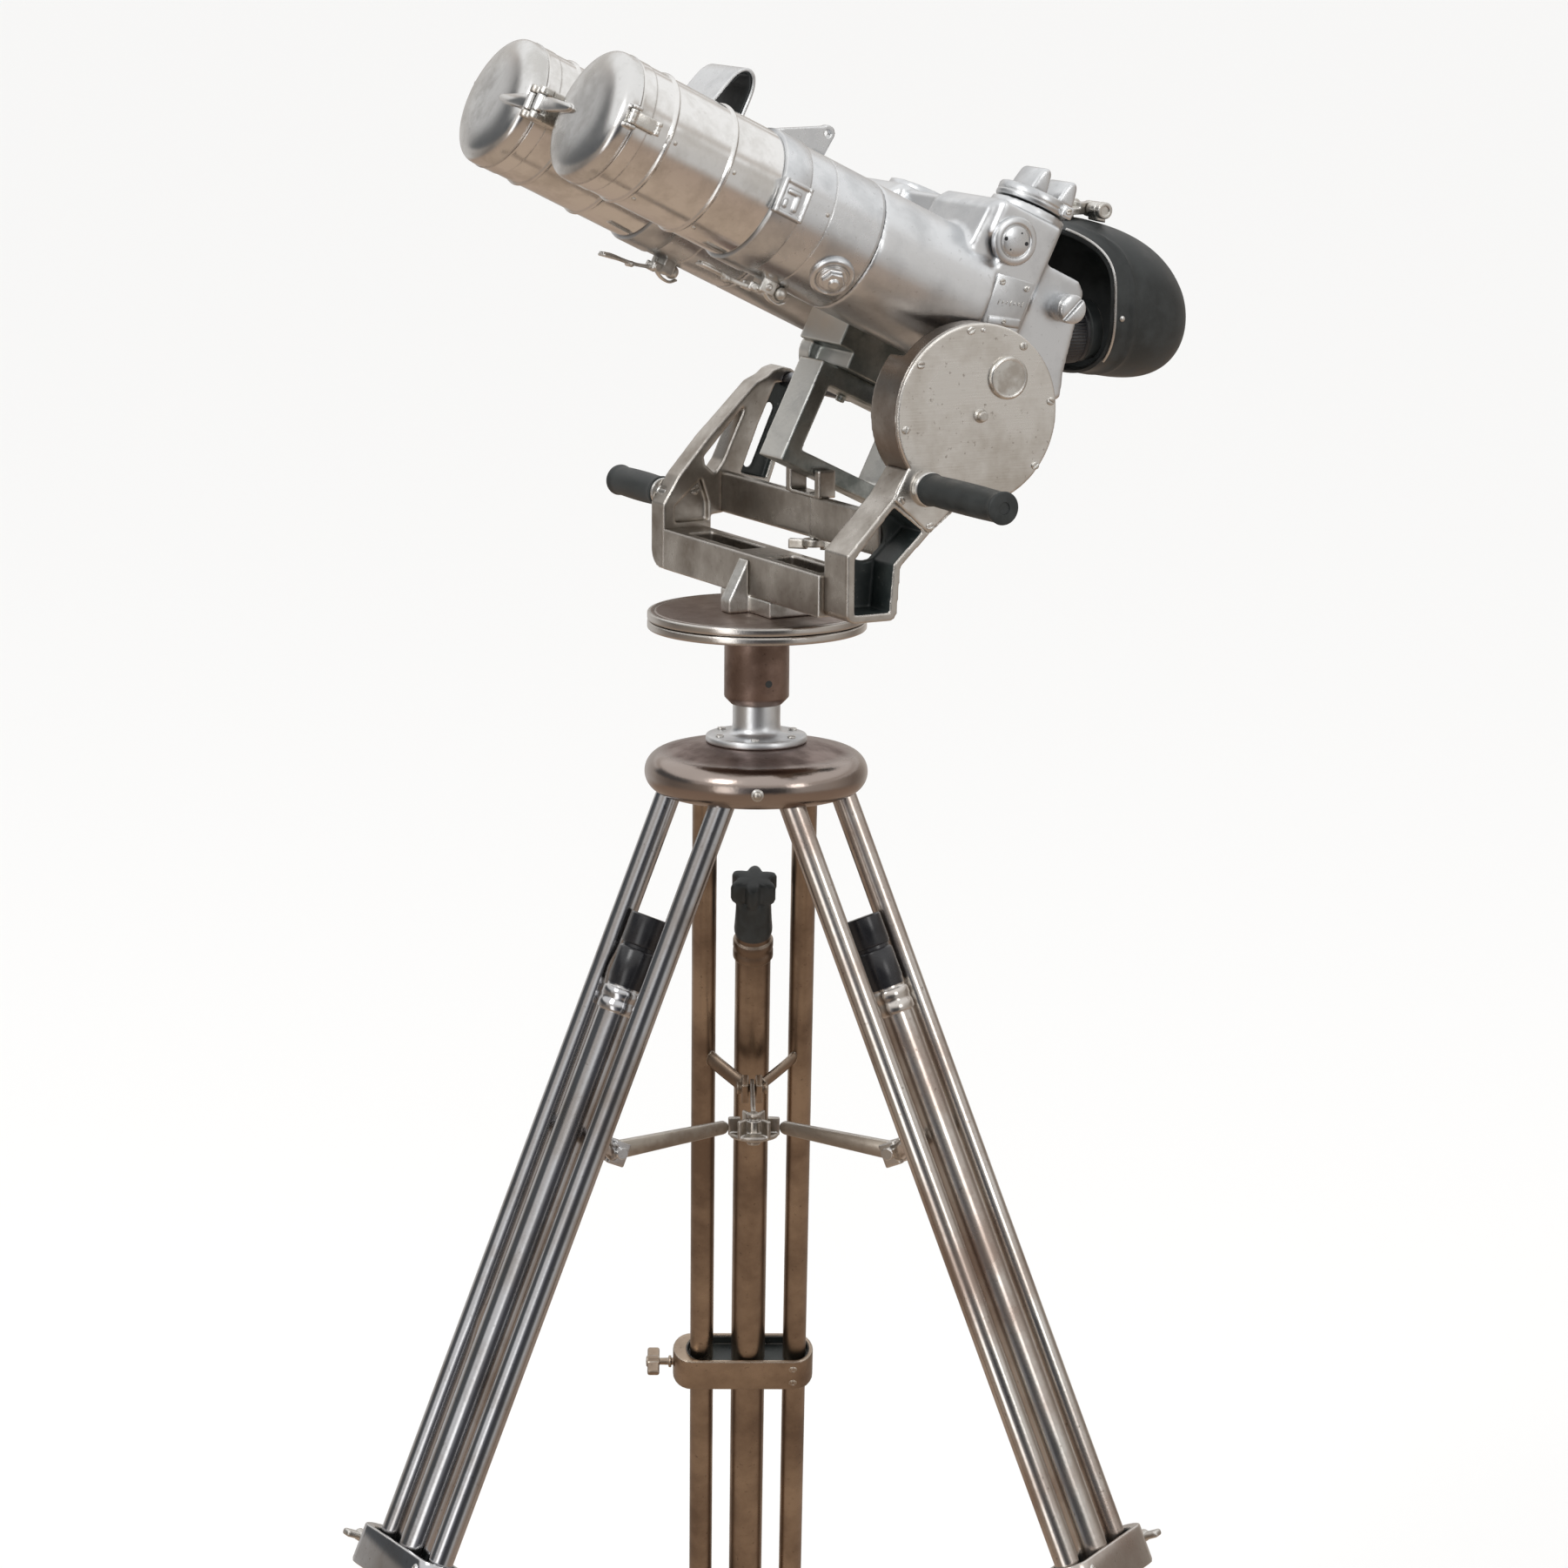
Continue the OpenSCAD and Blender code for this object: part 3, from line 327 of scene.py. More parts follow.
# %% Cast and brown metals
metal("brown_steel", (0.30, 0.235, 0.205), (0.21, 0.155, 0.13), (0.07, 0.05, 0.04), 34, (0.38, 0.55), 0.18,
      specks=0.5, edge=(0.62, 0.59, 0.55))
metal("cast_stand", (0.25, 0.185, 0.16), (0.17, 0.12, 0.10), (0.06, 0.045, 0.04), 30, (0.20, 0.50), 0.18,
      specks=0.5, edge=(0.60, 0.56, 0.52))
metal("fork_steel", (0.50, 0.47, 0.43), (0.27, 0.235, 0.20), (0.09, 0.07, 0.055), 17, (0.22, 0.42), 0.14,
      specks=0.4, edge=(0.84, 0.82, 0.78), edge_radius=0.0022, edge_wear=1.0, stained=(0.42, 0.66))
metal("drum_steel", (0.38, 0.345, 0.31), (0.24, 0.20, 0.17), (0.09, 0.07, 0.055), 17, (0.20, 0.40), 0.14,
      specks=0.4, edge=(0.80, 0.77, 0.73), edge_radius=0.0022, edge_wear=1.0, stained=(0.40, 0.62))
metal("cover_steel", (0.68, 0.655, 0.615), (0.47, 0.435, 0.385), (0.16, 0.12, 0.09), 19, (0.26, 0.40), 0.22,
      specks=0.55, edge=(0.84, 0.82, 0.79), stained=(0.46, 0.70),
      brush={"stretch": (1, 0.6, 14), "turn": (0.5, 0, 0)})
metal("pale_casting", (0.74, 0.73, 0.70), (0.52, 0.50, 0.46), (0.20, 0.18, 0.15), 50, (0.30, 0.50), 0.7,
      specks=0.3, bump_scale=240)
metal("green_casting", (0.40, 0.425, 0.415), (0.22, 0.25, 0.245), (0.08, 0.09, 0.08), 30, (0.30, 0.52), 0.35,
      specks=0.3, bump_scale=260, bare=((0, -0.8988, 0.4384), (0.80, 0.79, 0.75)))
metal("disc_steel", (0.27, 0.20, 0.17), (0.19, 0.135, 0.11), (0.07, 0.05, 0.04), 34, (0.34, 0.52), 0.18,
      specks=0.5, edge=(0.62, 0.59, 0.55), polish=(0.0768, 0.0774, (0.56, 0.54, 0.51)))
metal("head_steel", (0.235, 0.170, 0.148), (0.165, 0.115, 0.098), (0.06, 0.045, 0.04), 30, (0.32, 0.54), 0.18,
      specks=0.5, edge=(0.60, 0.56, 0.52), polish=(0.062, 0.074, (0.34, 0.29, 0.26)))
metal("black_paint", (0.020, 0.026, 0.026), (0.040, 0.048, 0.046), (0.30, 0.29, 0.27), 30, (0.28, 0.50), 0.3,
      specks=0.35, edge=(0.55, 0.53, 0.50), edge_radius=0.0009, metallic=0.0)
print("metals", len(FINISH) - 1)

# %% [markdown]
# ## Rubber, black enamel and glass
# The grips and the face shield are old rubber: nearly black with a green tinge,
# greyer where it has bloomed, and matt with a broad dull sheen. The eyepieces are
# enamelled. The optics are hidden inside, so plain coated glass is enough.

# %% Rubber, enamel and glass
def rubber(name, base, bloom, rough=(0.42, 0.62), bump=0.25):
    """Old rubber: dark, with a paler bloom in soft patches and a fine tooth."""
    nt, shader = new_material(name)
    coord = node(nt, "TexCoord")["Object"]
    patch = grain(nt, coord, 60.0, 5.0)
    tooth = grain(nt, coord, 900.0, 2.0)
    raised = node(nt, "Bump", {"Strength": bump, "Distance": 0.0003, "Height": tooth})
    feed(nt, shader, {"Base Color": ramp_between(nt, patch, [(0.40, base), (0.72, bloom)]),
                      "Roughness": ranged(nt, patch, 0.3, 0.7, *rough),
                      "Specular IOR Level": 0.45, "Normal": raised["Normal"]})


def glass(name, tint, alpha):
    """Coated glass: a tinted, smooth surface that lets some light by."""
    nt, shader = new_material(name)
    film = grain(nt, node(nt, "TexCoord")["Object"], 35.0, 2.0)
    shade = tuple(0.8 * c for c in tint)
    feed(nt, shader, {"Base Color": ramp_between(nt, film, [(0.3, tint), (0.7, shade)]),
                      "Roughness": 0.06, "Transmission Weight": 0.6, "Alpha": alpha})


rubber("rubber", (0.014, 0.017, 0.017), (0.032, 0.036, 0.036))
rubber("eyepiece_black", (0.010, 0.010, 0.012), (0.020, 0.020, 0.022), (0.18, 0.30), 0.05)
glass("lens_glass", (0.62, 0.71, 0.77), 0.5)
glass("filter_glass", (0.55, 0.60, 0.30), 0.7)

# %% Paint the CAD nodes
for node_name, cad in NODES.items():
    cad.data.materials.clear()
    cad.data.materials.append(FINISH[SLOT_OF[node_name]])
print("painted", len(NODES))

# %% [markdown]
# ## Places and small tools
# Three places are used: the turntable (heights above the disc), the tilted body
# (x, u along the barrels, w square to them) and a leg (distance down, across,
# outward). Shapes are worked out in millimetres in their own place and carried to
# the world by one function each, so a screw is drawn once and put anywhere.

# %% Places, in millimetres to metres
TILT = math.radians(26)
LEG_LEAN = math.radians(23.5)
LEG_AZ = [math.radians(152.68 + 120 * k) for k in range(3)]
MM = 1000
DISC_Z = DISC_HEIGHT * MM
BODY_Y, BODY_Z = 99.6, 1252.7
LEG_R, LEG_Z = 47, 975


def in_body(p):
    """(x, u, w) on the tilted body to the world: u runs back and down by 26 degrees."""
    x, u, w = np.moveaxis(np.asarray(p, float), -1, 0)
    c, s = math.cos(TILT), math.sin(TILT)
    return np.stack([x, BODY_Y + c * u + s * w, BODY_Z - s * u + c * w], -1) / MM


def on_disc(p):
    """(x, y, z) with z above the turntable's top face, to the world."""
    return (np.asarray(p, float) + [0, 0, DISC_Z]) / MM


def on_leg(k):
    """(outward, across, down) on leg k to the world, for any array of points."""
    def place(p):
        n, lat, t = np.moveaxis(np.asarray(p, float), -1, 0)
        c, s = math.cos(LEG_LEAN), math.sin(LEG_LEAN)
        r, z = LEG_R + n * c + t * s, LEG_Z + n * s - t * c
        a = LEG_AZ[k]
        x, y = r * math.cos(a) - lat * math.sin(a), r * math.sin(a) + lat * math.cos(a)
        return np.stack([x, y, z], -1) / MM
    return place


def facing(origin, axis):
    """Carries points drawn round +Z at 0 to the given origin, with +Z along axis."""
    z = np.array(axis, float)
    z /= np.linalg.norm(z)
    y = np.array((0, 1, 0) if axis[2] == 1 else (0, 0, 1), float)
    y -= z * (y @ z)
    y /= np.linalg.norm(y)
    x = np.cross(y, z)
    turn = np.stack([x, y, z])
    o = np.array(origin, float)
    return lambda p: np.asarray(p, float) @ turn + o


def mirrored(p):
    """The same points on the other side of the middle plane."""
    return np.asarray(p, float) * [-1, 1, 1]


def far_body(p):
    """As in_body, for the far half of the binoculars."""
    return in_body(mirrored(p))


def shift(*by):
    """Carries points by a fixed step."""
    return lambda p: p + np.array(by, float)


# %% Shapes as (points, faces)
def grid_faces(n, m, wrap_n=False, wrap_m=False):
    """Quads of an n by m grid of points, row after row; wrap joins the last to the first."""
    i = np.arange(n if wrap_n else n - 1)[:, None]
    j = np.arange(m if wrap_m else m - 1)[None, :]
    i2, j2 = (i + 1) % n, (j + 1) % m
    quad = np.stack(np.broadcast_arrays(i * m + j, i2 * m + j, i2 * m + j2, i * m + j2), -1)
    return quad.reshape(-1, 4).tolist()


def capped(n, m):
    """Faces of n rings of m points, closed by one face at each end."""
    first = list(range(m))
    return grid_faces(n, m, wrap_m=True) + [first[::-1], [v + (n - 1) * m for v in first]]


def revolved(profile, seg=64, closed=True):
    """A profile of (radius, height) turned round Z: x = r cos a, y = r sin a."""
    pr = np.array(profile, float)
    a = np.linspace(0, 2 * math.pi, seg, endpoint=False)
    r, z = pr[:, :1], np.broadcast_to(pr[:, 1:], (len(pr), seg))
    p = np.stack([r * np.cos(a), r * np.sin(a), z], -1)
    return p.reshape(-1, 3), grid_faces(len(pr), seg, wrap_n=closed, wrap_m=True)


def arc(centre, r, a0, a1, n=6):
    """Points on a circle from angle a0 to a1 in degrees, for a rounded profile corner."""
    a = np.radians(np.linspace(a0, a1, n))
    return [(centre[0] + r * math.cos(t), centre[1] + r * math.sin(t)) for t in a]


def prism(outline, z0, z1, soft=0.6, rings=3):
    """An outline drawn up from z0 to z1; its rims are rounded by insetting along the corner normals."""
    o = np.array(outline, float)
    if np.sum(o[:, 0] * np.roll(o[:, 1], -1) - np.roll(o[:, 0], -1) * o[:, 1]) < 0:
        o = o[::-1]
    e = np.roll(o, -1, 0) - o
    e /= np.linalg.norm(e, axis=1)[:, None]
    n1 = np.stack([e[:, 1], -e[:, 0]], 1)
    nv = n1 + np.roll(n1, 1, 0)
    nv /= np.maximum(0.5, np.sum(nv * n1, 1))[:, None]
    t = np.radians(np.linspace(0, 90, rings))
    low = [(1 - math.sin(a), z0 + soft * (1 - math.cos(a))) for a in t]
    high = [(1 - math.cos(a), z1 - soft * (1 - math.sin(a))) for a in t]
    levels = low + high
    rows = [np.column_stack([o - nv * soft * k, np.full(len(o), z)]) for k, z in levels]
    return np.concatenate(rows), capped(len(levels), len(o))


def soft_box(size, r=1.0, n=4):
    """A box with rounded edges: each point is its core point plus r along the direction out."""
    h = np.array(size, float) / 2
    r = min(r, h.min() * 0.98)
    pts, faces = [], []
    for axis in range(3):
        a, b = [i for i in range(3) if i != axis]
        ga, gb = [np.concatenate([np.linspace(-h[i], -(h[i] - r), n),
                                  np.linspace(h[i] - r, h[i], n)]) for i in (a, b)]
        for side in (-1, 1):
            q = np.zeros((len(ga), len(gb), 3))
            q[..., axis] = side * h[axis]
            q[..., a] = ga[:, None]
            q[..., b] = gb[None, :]
            core = np.clip(q, -(h - r), h - r)
            d = q - core
            q = core + r * d / np.maximum(1e-9, np.linalg.norm(d, axis=-1, keepdims=True))
            base = sum(len(x) for x in pts)
            faces += [[v + base for v in f] for f in grid_faces(len(ga), len(gb))]
            pts.append(q.reshape(-1, 3))
    return np.concatenate(pts), faces


def swept(path, section):
    """A section of (side, up) offsets carried along a path; the frame turns as little as it can."""
    path, section = np.array(path, float), np.array(section, float)
    t = np.gradient(path, axis=0)
    t /= np.linalg.norm(t, axis=1)[:, None]
    side = np.cross(t[0], [0.0, 0.31, 0.95])
    rows = []
    for p, d in zip(path, t):
        side = side - d * (side @ d)
        side /= np.linalg.norm(side)
        up = np.cross(side, d)
        rows.append(p + section[:, :1] * side + section[:, 1:] * up)
    return np.concatenate(rows), capped(len(path), len(section))


def oval(half_side, half_up, n):
    """An oval section for swept."""
    a = np.linspace(0, 2 * math.pi, n, endpoint=False)
    return np.column_stack([half_side * np.cos(a), half_up * np.sin(a)])


def moved(shape, place):
    """The shape with its points carried by a place function."""
    return place(shape[0]), shape[1]


def together(*shapes):
    """Several shapes as one list of points and faces."""
    pts, faces, base = [], [], 0
    for p, f in shapes:
        pts.append(p)
        faces += [[v + base for v in q] for q in f]
        base += len(p)
    return np.concatenate(pts), faces


def both(shape):
    """A shape and its mirror image on the other side of the middle plane."""
    return together(shape, moved(shape, mirrored))


def placed_box(size, centre, r=0.8):
    """A rounded box at a centre."""
    return moved(soft_box(size, r), shift(*centre))


def turned_part(profile, origin, axis, seg=48, closed=False):
    """A profile turned and set on an axis: from pole to pole, or closed round a hole."""
    return moved(revolved(profile, seg, closed), facing(origin, axis))


# %% From shape to piece
def shaded(mesh, angle):
    """Smooth shading that stays sharp where faces meet at more than the angle."""
    mesh.polygons.foreach_set("use_smooth", np.ones(len(mesh.polygons), bool))
    mesh.set_sharp_from_angle(angle=math.radians(angle))


def welded(mesh, distance, outward=False):
    """Joins points that lie together, and turns the faces outward if asked."""
    bm = bmesh.new()
    bm.from_mesh(mesh)
    bmesh.ops.remove_doubles(bm, verts=bm.verts, dist=distance)
    if outward:
        bmesh.ops.recalc_face_normals(bm, faces=bm.faces)
    bm.to_mesh(mesh)
    bm.free()


def piece(name, body, finish, shape, place, stands_for=(), sharp=32):
    """A closed mesh in the world, riding on a body, with one finish, in place of CAD nodes."""
    mesh = bpy.data.meshes.new(name)
    mesh.from_pydata(place(shape[0]).tolist(), [], shape[1])
    welded(mesh, 2e-6, True)
    mesh.materials.append(FINISH[finish])
    shaded(mesh, sharp)
    obj = new_object(name, mesh)
    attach(obj, body)
    own = finish if finish in SLOTS else "fastener"
    SLOT_OF[stands_for[0]] if stands_for else own
    if stands_for:
        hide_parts(*stands_for)


def as_cast(part, voxel, rounds, keep, finish=None, painted=None):
    """The CAD solid as a casting: filled with voxels, then its corners relaxed by smoothing."""
    mesh = NODES[part].data.copy()
    welded(mesh, 1e-6)
    raw = new_object("raw_" + part, mesh)
    grid = raw.modifiers.new("grid", "REMESH")
    grid.mode = "VOXEL"
    grid.voxel_size = voxel / MM
    relax = raw.modifiers.new("relax", "SMOOTH")
    relax.factor = 0.5
    relax.iterations = rounds
    raw.modifiers.new("thin", "DECIMATE").ratio = keep
    deps = bpy.context.evaluated_depsgraph_get()
    cast = bpy.data.meshes.new_from_object(raw.evaluated_get(deps))
    bpy.data.objects.remove(raw)
    cast.name = "cast_" + part
    cast.materials.clear()
    cast.materials.append(FINISH[finish or SLOT_OF[part]])
    if painted:
        cast.materials.append(FINISH["black_paint"])
        centres = np.array([f.center for f in cast.polygons]) * MM - [0, 0, DISC_Z]
        for i in np.nonzero(painted(centres))[0]:
            cast.polygons[i].material_index = 1
    shaded(cast, 60)
    obj = new_object("cast_" + part, cast)
    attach(obj, BODY_OF[part])
    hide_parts(part)
    print(part, "faces", len(cast.polygons))


# %% [markdown]
# ## Castings of the fork and the cradle
# The real arms, beams and cradle are sand castings with milled faces. Their CAD
# solids have the right outlines but knife edges. Filling the solid with small voxels
# and relaxing the surface a little rounds every corner the way a casting and a file
# do, and leaves the faces flat.

# %% Painted recesses
def within(y, z, outline):
    """True where (y, z) lies inside the outline, by counting the edges crossed to the right."""
    inside = np.zeros(len(y), bool)
    for (y0, z0), (y1, z1) in zip(outline, outline[1:] + outline[:1]):
        if z0 != z1:
            crossed = (z0 > z) != (z1 > z)
            inside ^= crossed & (y < (y1 - y0) * (z - z0) / (z1 - z0) + y0)
    return inside


NEAR_POCKET = [(-1, 17), (-1, 57.4), (30.6, 93.4), (55.2, 74), (32, 51.6), (29, 17)]
FAR_WEB = [(83, 147), (97, 147), (100, 139), (77, 74), (54, 79), (69, 117)]


def recess(outline, low, high):
    """Tells which face centres lie over an outline in (y, z), between two x."""
    return lambda c: within(c[:, 1], c[:, 2], outline) & (c[:, 0] > low) & (c[:, 0] < high)


# %% Cast parts
for cast_row in [("left_yoke_arm", 0.9, 3, 0.45, None, recess(NEAR_POCKET, 109, 143.2)),
                 ("right_yoke_arm", 0.9, 3, 0.45, None, recess(FAR_WEB, -151, -130.8)),
                 ("yoke_front_beam", 1.0, 3, 0.45), ("yoke_rear_beam", 0.9, 3, 0.45),
                 ("drum_housing", 1.1, 3, 0.45, "drum_steel"), ("drum_cover", 0.7, 2, 0.45, "cover_steel"),
                 ("yoke_pedestal", 0.9, 3, 0.45, "pale_casting"), ("saddle_block", 1.0, 4, 0.45),
                 ("cradle_frame", 1.0, 3, 0.45), ("elevation_clamp", 0.7, 2, 0.45)]:
    as_cast(*cast_row)

# %% [markdown]
# ## The body casting
# The prism housings and the bridge between the barrels are one aluminium casting,
# filed and polished until its corners flow. It needs larger voxels and more
# relaxing than the fork, so the corners come out round by three or four millimetres.

# %% Body casting
as_cast("body_casting", 1.6, 7, 0.35, "casting_alloy")

# %% [markdown]
# ## Lids
# Each objective lid is a spun dish: a nearly flat face with a little crown, a wide
# round corner, and a short skirt that meets the hood. A revolved profile gives both
# walls at once, so the dish is closed and has real thickness. A tapered strap is
# screwed over the face and ends in the hinge knuckle.

# %% Lids with straps
BARREL_X, BARREL_W = 74.1, 73.5
HINGE_U = -343
CATCH_X, CATCH_U = BARREL_X + 51.5, -331
along_barrel = facing((BARREL_X, 0, BARREL_W), (0, -1, 0))


def crowned(t, skirt, depth, power=4.6):
    """Height of the dish at t = r / radius: skirt + depth * (1 - t^power)^(1/power)."""
    return skirt + depth * (1 - np.clip(t, 0, 1) ** power) ** (1 / power)


def dish_profile(radius=47.7, skirt=326.3, depth=15.2, wall=1.8):
    """(radius, height) round the dish: outer face to the rim, then back inside."""
    t = 1 - (1 - np.linspace(0, 1, 34)) ** 2
    outer = [(radius * a, float(crowned(a, skirt + 1.0, depth - 1.0))) for a in t]
    rim = [(radius + 0.5, skirt + 0.8), (radius + 0.5, skirt + 0.1), (radius - wall, skirt + 0.1)]
    inner = [((radius - wall) * a, float(crowned(a, skirt + 1.0, depth - 1.0 - wall))) for a in t[::-1]]
    return outer + rim + inner


def strap_shape():
    """A bar from the knuckle over the face, 10 mm wide at the hinge and 5 mm at its tip."""
    outline = [(5, -5), (22, -5), (40, -3.6), (53, -2.6), (56, -1.4), (57, 0),
               (56, 1.4), (53, 2.6), (40, 3.6), (22, 5), (5, 5)]
    return prism(outline, 340.0, 344.4, 0.7)


def lid_parts():
    """Dish, strap, knuckle and the two ears of the side catch, all on the barrel's axis."""
    dish = moved(revolved(dish_profile(), 96), along_barrel)
    strap = moved(strap_shape(), lambda p: np.column_stack([p[:, 0], -p[:, 2], p[:, 1] + BARREL_W]))
    knuckle = turned_part([(2.05, -6), (3.6, -6), (4, -5.6), (4, 5.6), (3.6, 6), (2.05, 6)],
                          (7, HINGE_U, BARREL_W), (0, 0, 1), 32, True)
    ears = [placed_box((9, 7.5, 2.4), (BARREL_X + 49.2, -330.4, BARREL_W + w), 0.6) for w in (-2.7, 10.7)]
    pin = turned_part([(0, -4.4), (1.7, -4.4), (1.5, -4), (1.5, 12), (1.7, 12.4), (0, 12.4)],
                      (CATCH_X, CATCH_U, BARREL_W), (0, 0, 1), 20)
    return together(dish, strap, knuckle, *ears, pin)


lid_shape = lid_parts()
piece("left_lid_dish", "left_lid", "lid_metal", lid_shape, in_body, ["left_lid"])
piece("right_lid_dish", "right_lid", "lid_metal", lid_shape, far_body, ["right_lid"])
print("lid points", len(lid_shape[0]))

# %% [markdown]
# The catch on each lid is a short tongue with a rolled end that hooks behind the
# hood's bead. The roll is a small barrel with two grooves.

# %% Lid catches
def catch_shape():
    """A rolled barrel on the pin and a tongue with a raised, rounded end."""
    roll = turned_part([(1.55, -1), (2.7, -1), (2.9, -0.7), (2.9, 1.6), (2.5, 2.0), (2.9, 2.4), (2.9, 6),
                        (2.5, 6.4), (2.9, 6.8), (2.9, 8.7), (2.7, 9), (1.55, 9)],
                       (CATCH_X, CATCH_U, BARREL_W), (0, 0, 1), 28, True)
    tongue = placed_box((2.4, 18, 9.6), (CATCH_X + 0.4, -321, BARREL_W + 4), 0.8)
    end = turned_part([(0, -4.8), (2.0, -4.8), (2.4, -4.3), (2.4, -2.4), (2.0, -2), (2.0, 2), (2.4, 2.4),
                       (2.4, 4.3), (2.0, 4.8), (0, 4.8)], (CATCH_X + 0.6, -310.5, BARREL_W + 4),
                       (0, 0, 1), 24)
    return together(roll, tongue, end)


catch = catch_shape()
piece("left_catch_tongue", "left_catch", "fastener", catch, in_body, ["left_lid_catch"])
piece("right_catch_tongue", "right_catch", "fastener", catch, far_body, ["right_lid_catch"])

# %% [markdown]
# ## Hoods and barrels
# A hood is a thin polished tube with a rolled front rim and two rolled beads. The
# barrel behind it is turned, with a collar, a fine joint line and the seam where it
# screws into the casting. Both are profiles turned round the barrel's axis; a bead is
# a half circle in the profile.

# %% Objective hoods
def bead(at, r, height=1.5, half=1.9):
    """Half-round swelling of a tube's profile: r + height * cos over +-half, along the tube."""
    t = np.linspace(-1, 1, 9)
    return [(r + height * math.cos(a * math.pi / 2), at + a * half) for a in t]


def hood_profile():
    """Outer wall from the casting end to the front rim, then back along the inside."""
    r = 47.0
    out = [(r, 205.2), (r, 243)] + bead(247, r) + [(r, 251), (r, 293)] + bead(297, r)
    out += [(r, 301), (r, 314.4), (r + 0.5, 314.8), (r + 0.5, 322.6)]
    out += arc((r - 0.6, 324.6), 1.3, -20, 180, 10)
    out += [(r - 2.4, 322), (r - 2.4, 262.2), (r - 2.4, 254), (r - 2.4, 205.2)]
    return out


hood = moved(revolved(hood_profile(), 112), along_barrel)
piece("hood_tubes", "binocular", "hood_metal", both(hood), in_body, ["objective_hoods"])


# %% Barrel tubes
def barrel_profile():
    """A turned tube: front lip over the hood, collar, fine joint, plain tube, seam."""
    r = 48.5
    out = [(r - 3, 205.0), (r - 0.8, 205.0), (r + 0.8, 204.2), (r + 1.1, 203.4), (r + 1.1, 183.2),
           (r + 0.9, 182.6), (r, 182.2), (r, 160.3), (r - 0.35, 160.0), (r - 0.35, 159.6), (r, 159.3),
           (r, 119.0), (r - 0.6, 118.2), (r - 0.6, 117.1), (r - 3, 117.1)]
    return out


tube = moved(revolved(barrel_profile(), 112), along_barrel)
piece("left_barrel_tube", "binocular", "barrel_alloy", tube, in_body, ["left_barrel"])
piece("right_barrel_tube", "binocular", "barrel_alloy", tube, far_body, ["right_barrel"])
print("tube points", len(tube[0]))

# %% [markdown]
# ## Face shield
# The rubber mask keeps side light from the eyepieces. It is moulded: upright side
# walls that run round into a roof and a chin, an opening for the face behind, and a
# front edge cut back in an arc at each side. Each station from front to back is a
# superellipse |x/a|^n + |z/c|^n = 1 whose half sizes a and c shrink towards the face
# opening, and whose centre drops a little.

# %% Rubber mask
def mask_half(y, full, fade=82.0, power=2.6):
    """Half size at y: full up to the hinge, then full * (1 - (dy / fade)^power)^(1/power)."""
    dy = np.clip(y - 262.0, 0, fade * 0.999)
    return full * (1 - (dy / fade) ** power) ** (1 / power)


def front_edge(a):
    """Y of the front edge at section angle a: 219 at the roof, 254 at the sides, 249 at the chin."""
    up = np.clip(np.sin(a), 0, 1)
    down = np.clip(-np.sin(a), 0, 1)
    return 254 - 35 * up ** 2.6 - 5 * down ** 3


def mask_surface(inset, n_ring=120, n_deep=40):
    """Rings of points from the front edge to the face opening, inset by the wall."""
    a = np.linspace(0, 2 * math.pi, n_ring, endpoint=False)
    s = np.linspace(0, 1, n_deep)[:, None] ** 0.9
    y = front_edge(a)[None, :] * (1 - s) + 330.0 * s
    half_x = mask_half(y, 70.0) - inset
    half_z = mask_half(y, 56.5) - inset
    ca, sa = np.cos(a), np.sin(a)
    e = 2 / (2.9 - 0.85 * s ** 1.5)
    x = half_x * np.sign(ca) * np.abs(ca) ** e
    z = half_z * np.sign(sa) * np.abs(sa) ** e
    mid = 217.5 - 0.25 * np.clip(y - 262, 0, 90)
    fold = 1.3 * np.exp(-((s * (330.0 - front_edge(a)[None, :]) - 17) / 2.2) ** 2)
    grow = 1 + (fold if inset == 0 else 0) / 62
    return np.stack([x * grow, y, mid + z * grow], -1)


def mask_shape(wall=3.8):
    """Outer and inner surfaces joined by a rounded lip at both openings."""
    outer, inner = mask_surface(0), mask_surface(wall)
    lip_back = (outer[-1] + inner[-1]) / 2 + [0, 1.6, 0]
    lip_front = (outer[0] + inner[0]) / 2 - [0, 1.2, 0]
    rows = np.concatenate([outer, lip_back[None], inner[::-1], lip_front[None]])
    n, m = rows.shape[:2]
    return rows.reshape(-1, 3), grid_faces(n, m, wrap_n=True, wrap_m=True)


piece("rubber_mask", "face_shield", "rubber", mask_shape(), on_disc, ["face_shield_rubber"], sharp=50)


# %% Metal edge of the mask
def edge_strip(side):
    """A flat steel strip along the front edge of one side wall, riveted to the rubber."""
    a = np.radians(np.linspace(-42, 62, 60))
    p = mask_surface(0, 720, 40)
    angles = np.linspace(0, 360, 720, endpoint=False)
    pick = np.array([np.argmin(np.abs((angles - math.degrees(t) + 180) % 360 - 180)) for t in a])
    path = p[0][pick] * [side, 1, 1] + [side * 0.4, 1.2, 0]
    return swept(path, [(-0.7, -1.9), (0.7, -1.9), (0.9, -1.5), (0.9, 1.5), (0.7, 1.9), (-0.7, 1.9),
                        (-0.9, 1.5), (-0.9, -1.5)])


rivet = revolved([(0, 1.5), (1.2, 1.4), (2.1, 0.9), (2.4, 0), (0, 0)], 20, False)
mask_rivets = [moved(rivet, facing((s * 70.0, 261.5, 206), (s, 0, 0))) for s in (1, -1)]
piece("mask_edge", "face_shield", "bright_steel",
      together(edge_strip(1), edge_strip(-1), *mask_rivets), on_disc, ["face_shield_rim"])

# %% [markdown]
# ## Eyepieces and grips
# The eyepieces are black enamelled rings with a milled focus grip. The milling is a
# ripple added to the radius of the revolved profile: r + h * cos(60 a). The eyecups
# are soft rubber with a rolled lip. The handle grips are rubber sleeves with a
# flange at each end and a shallow swelling between.

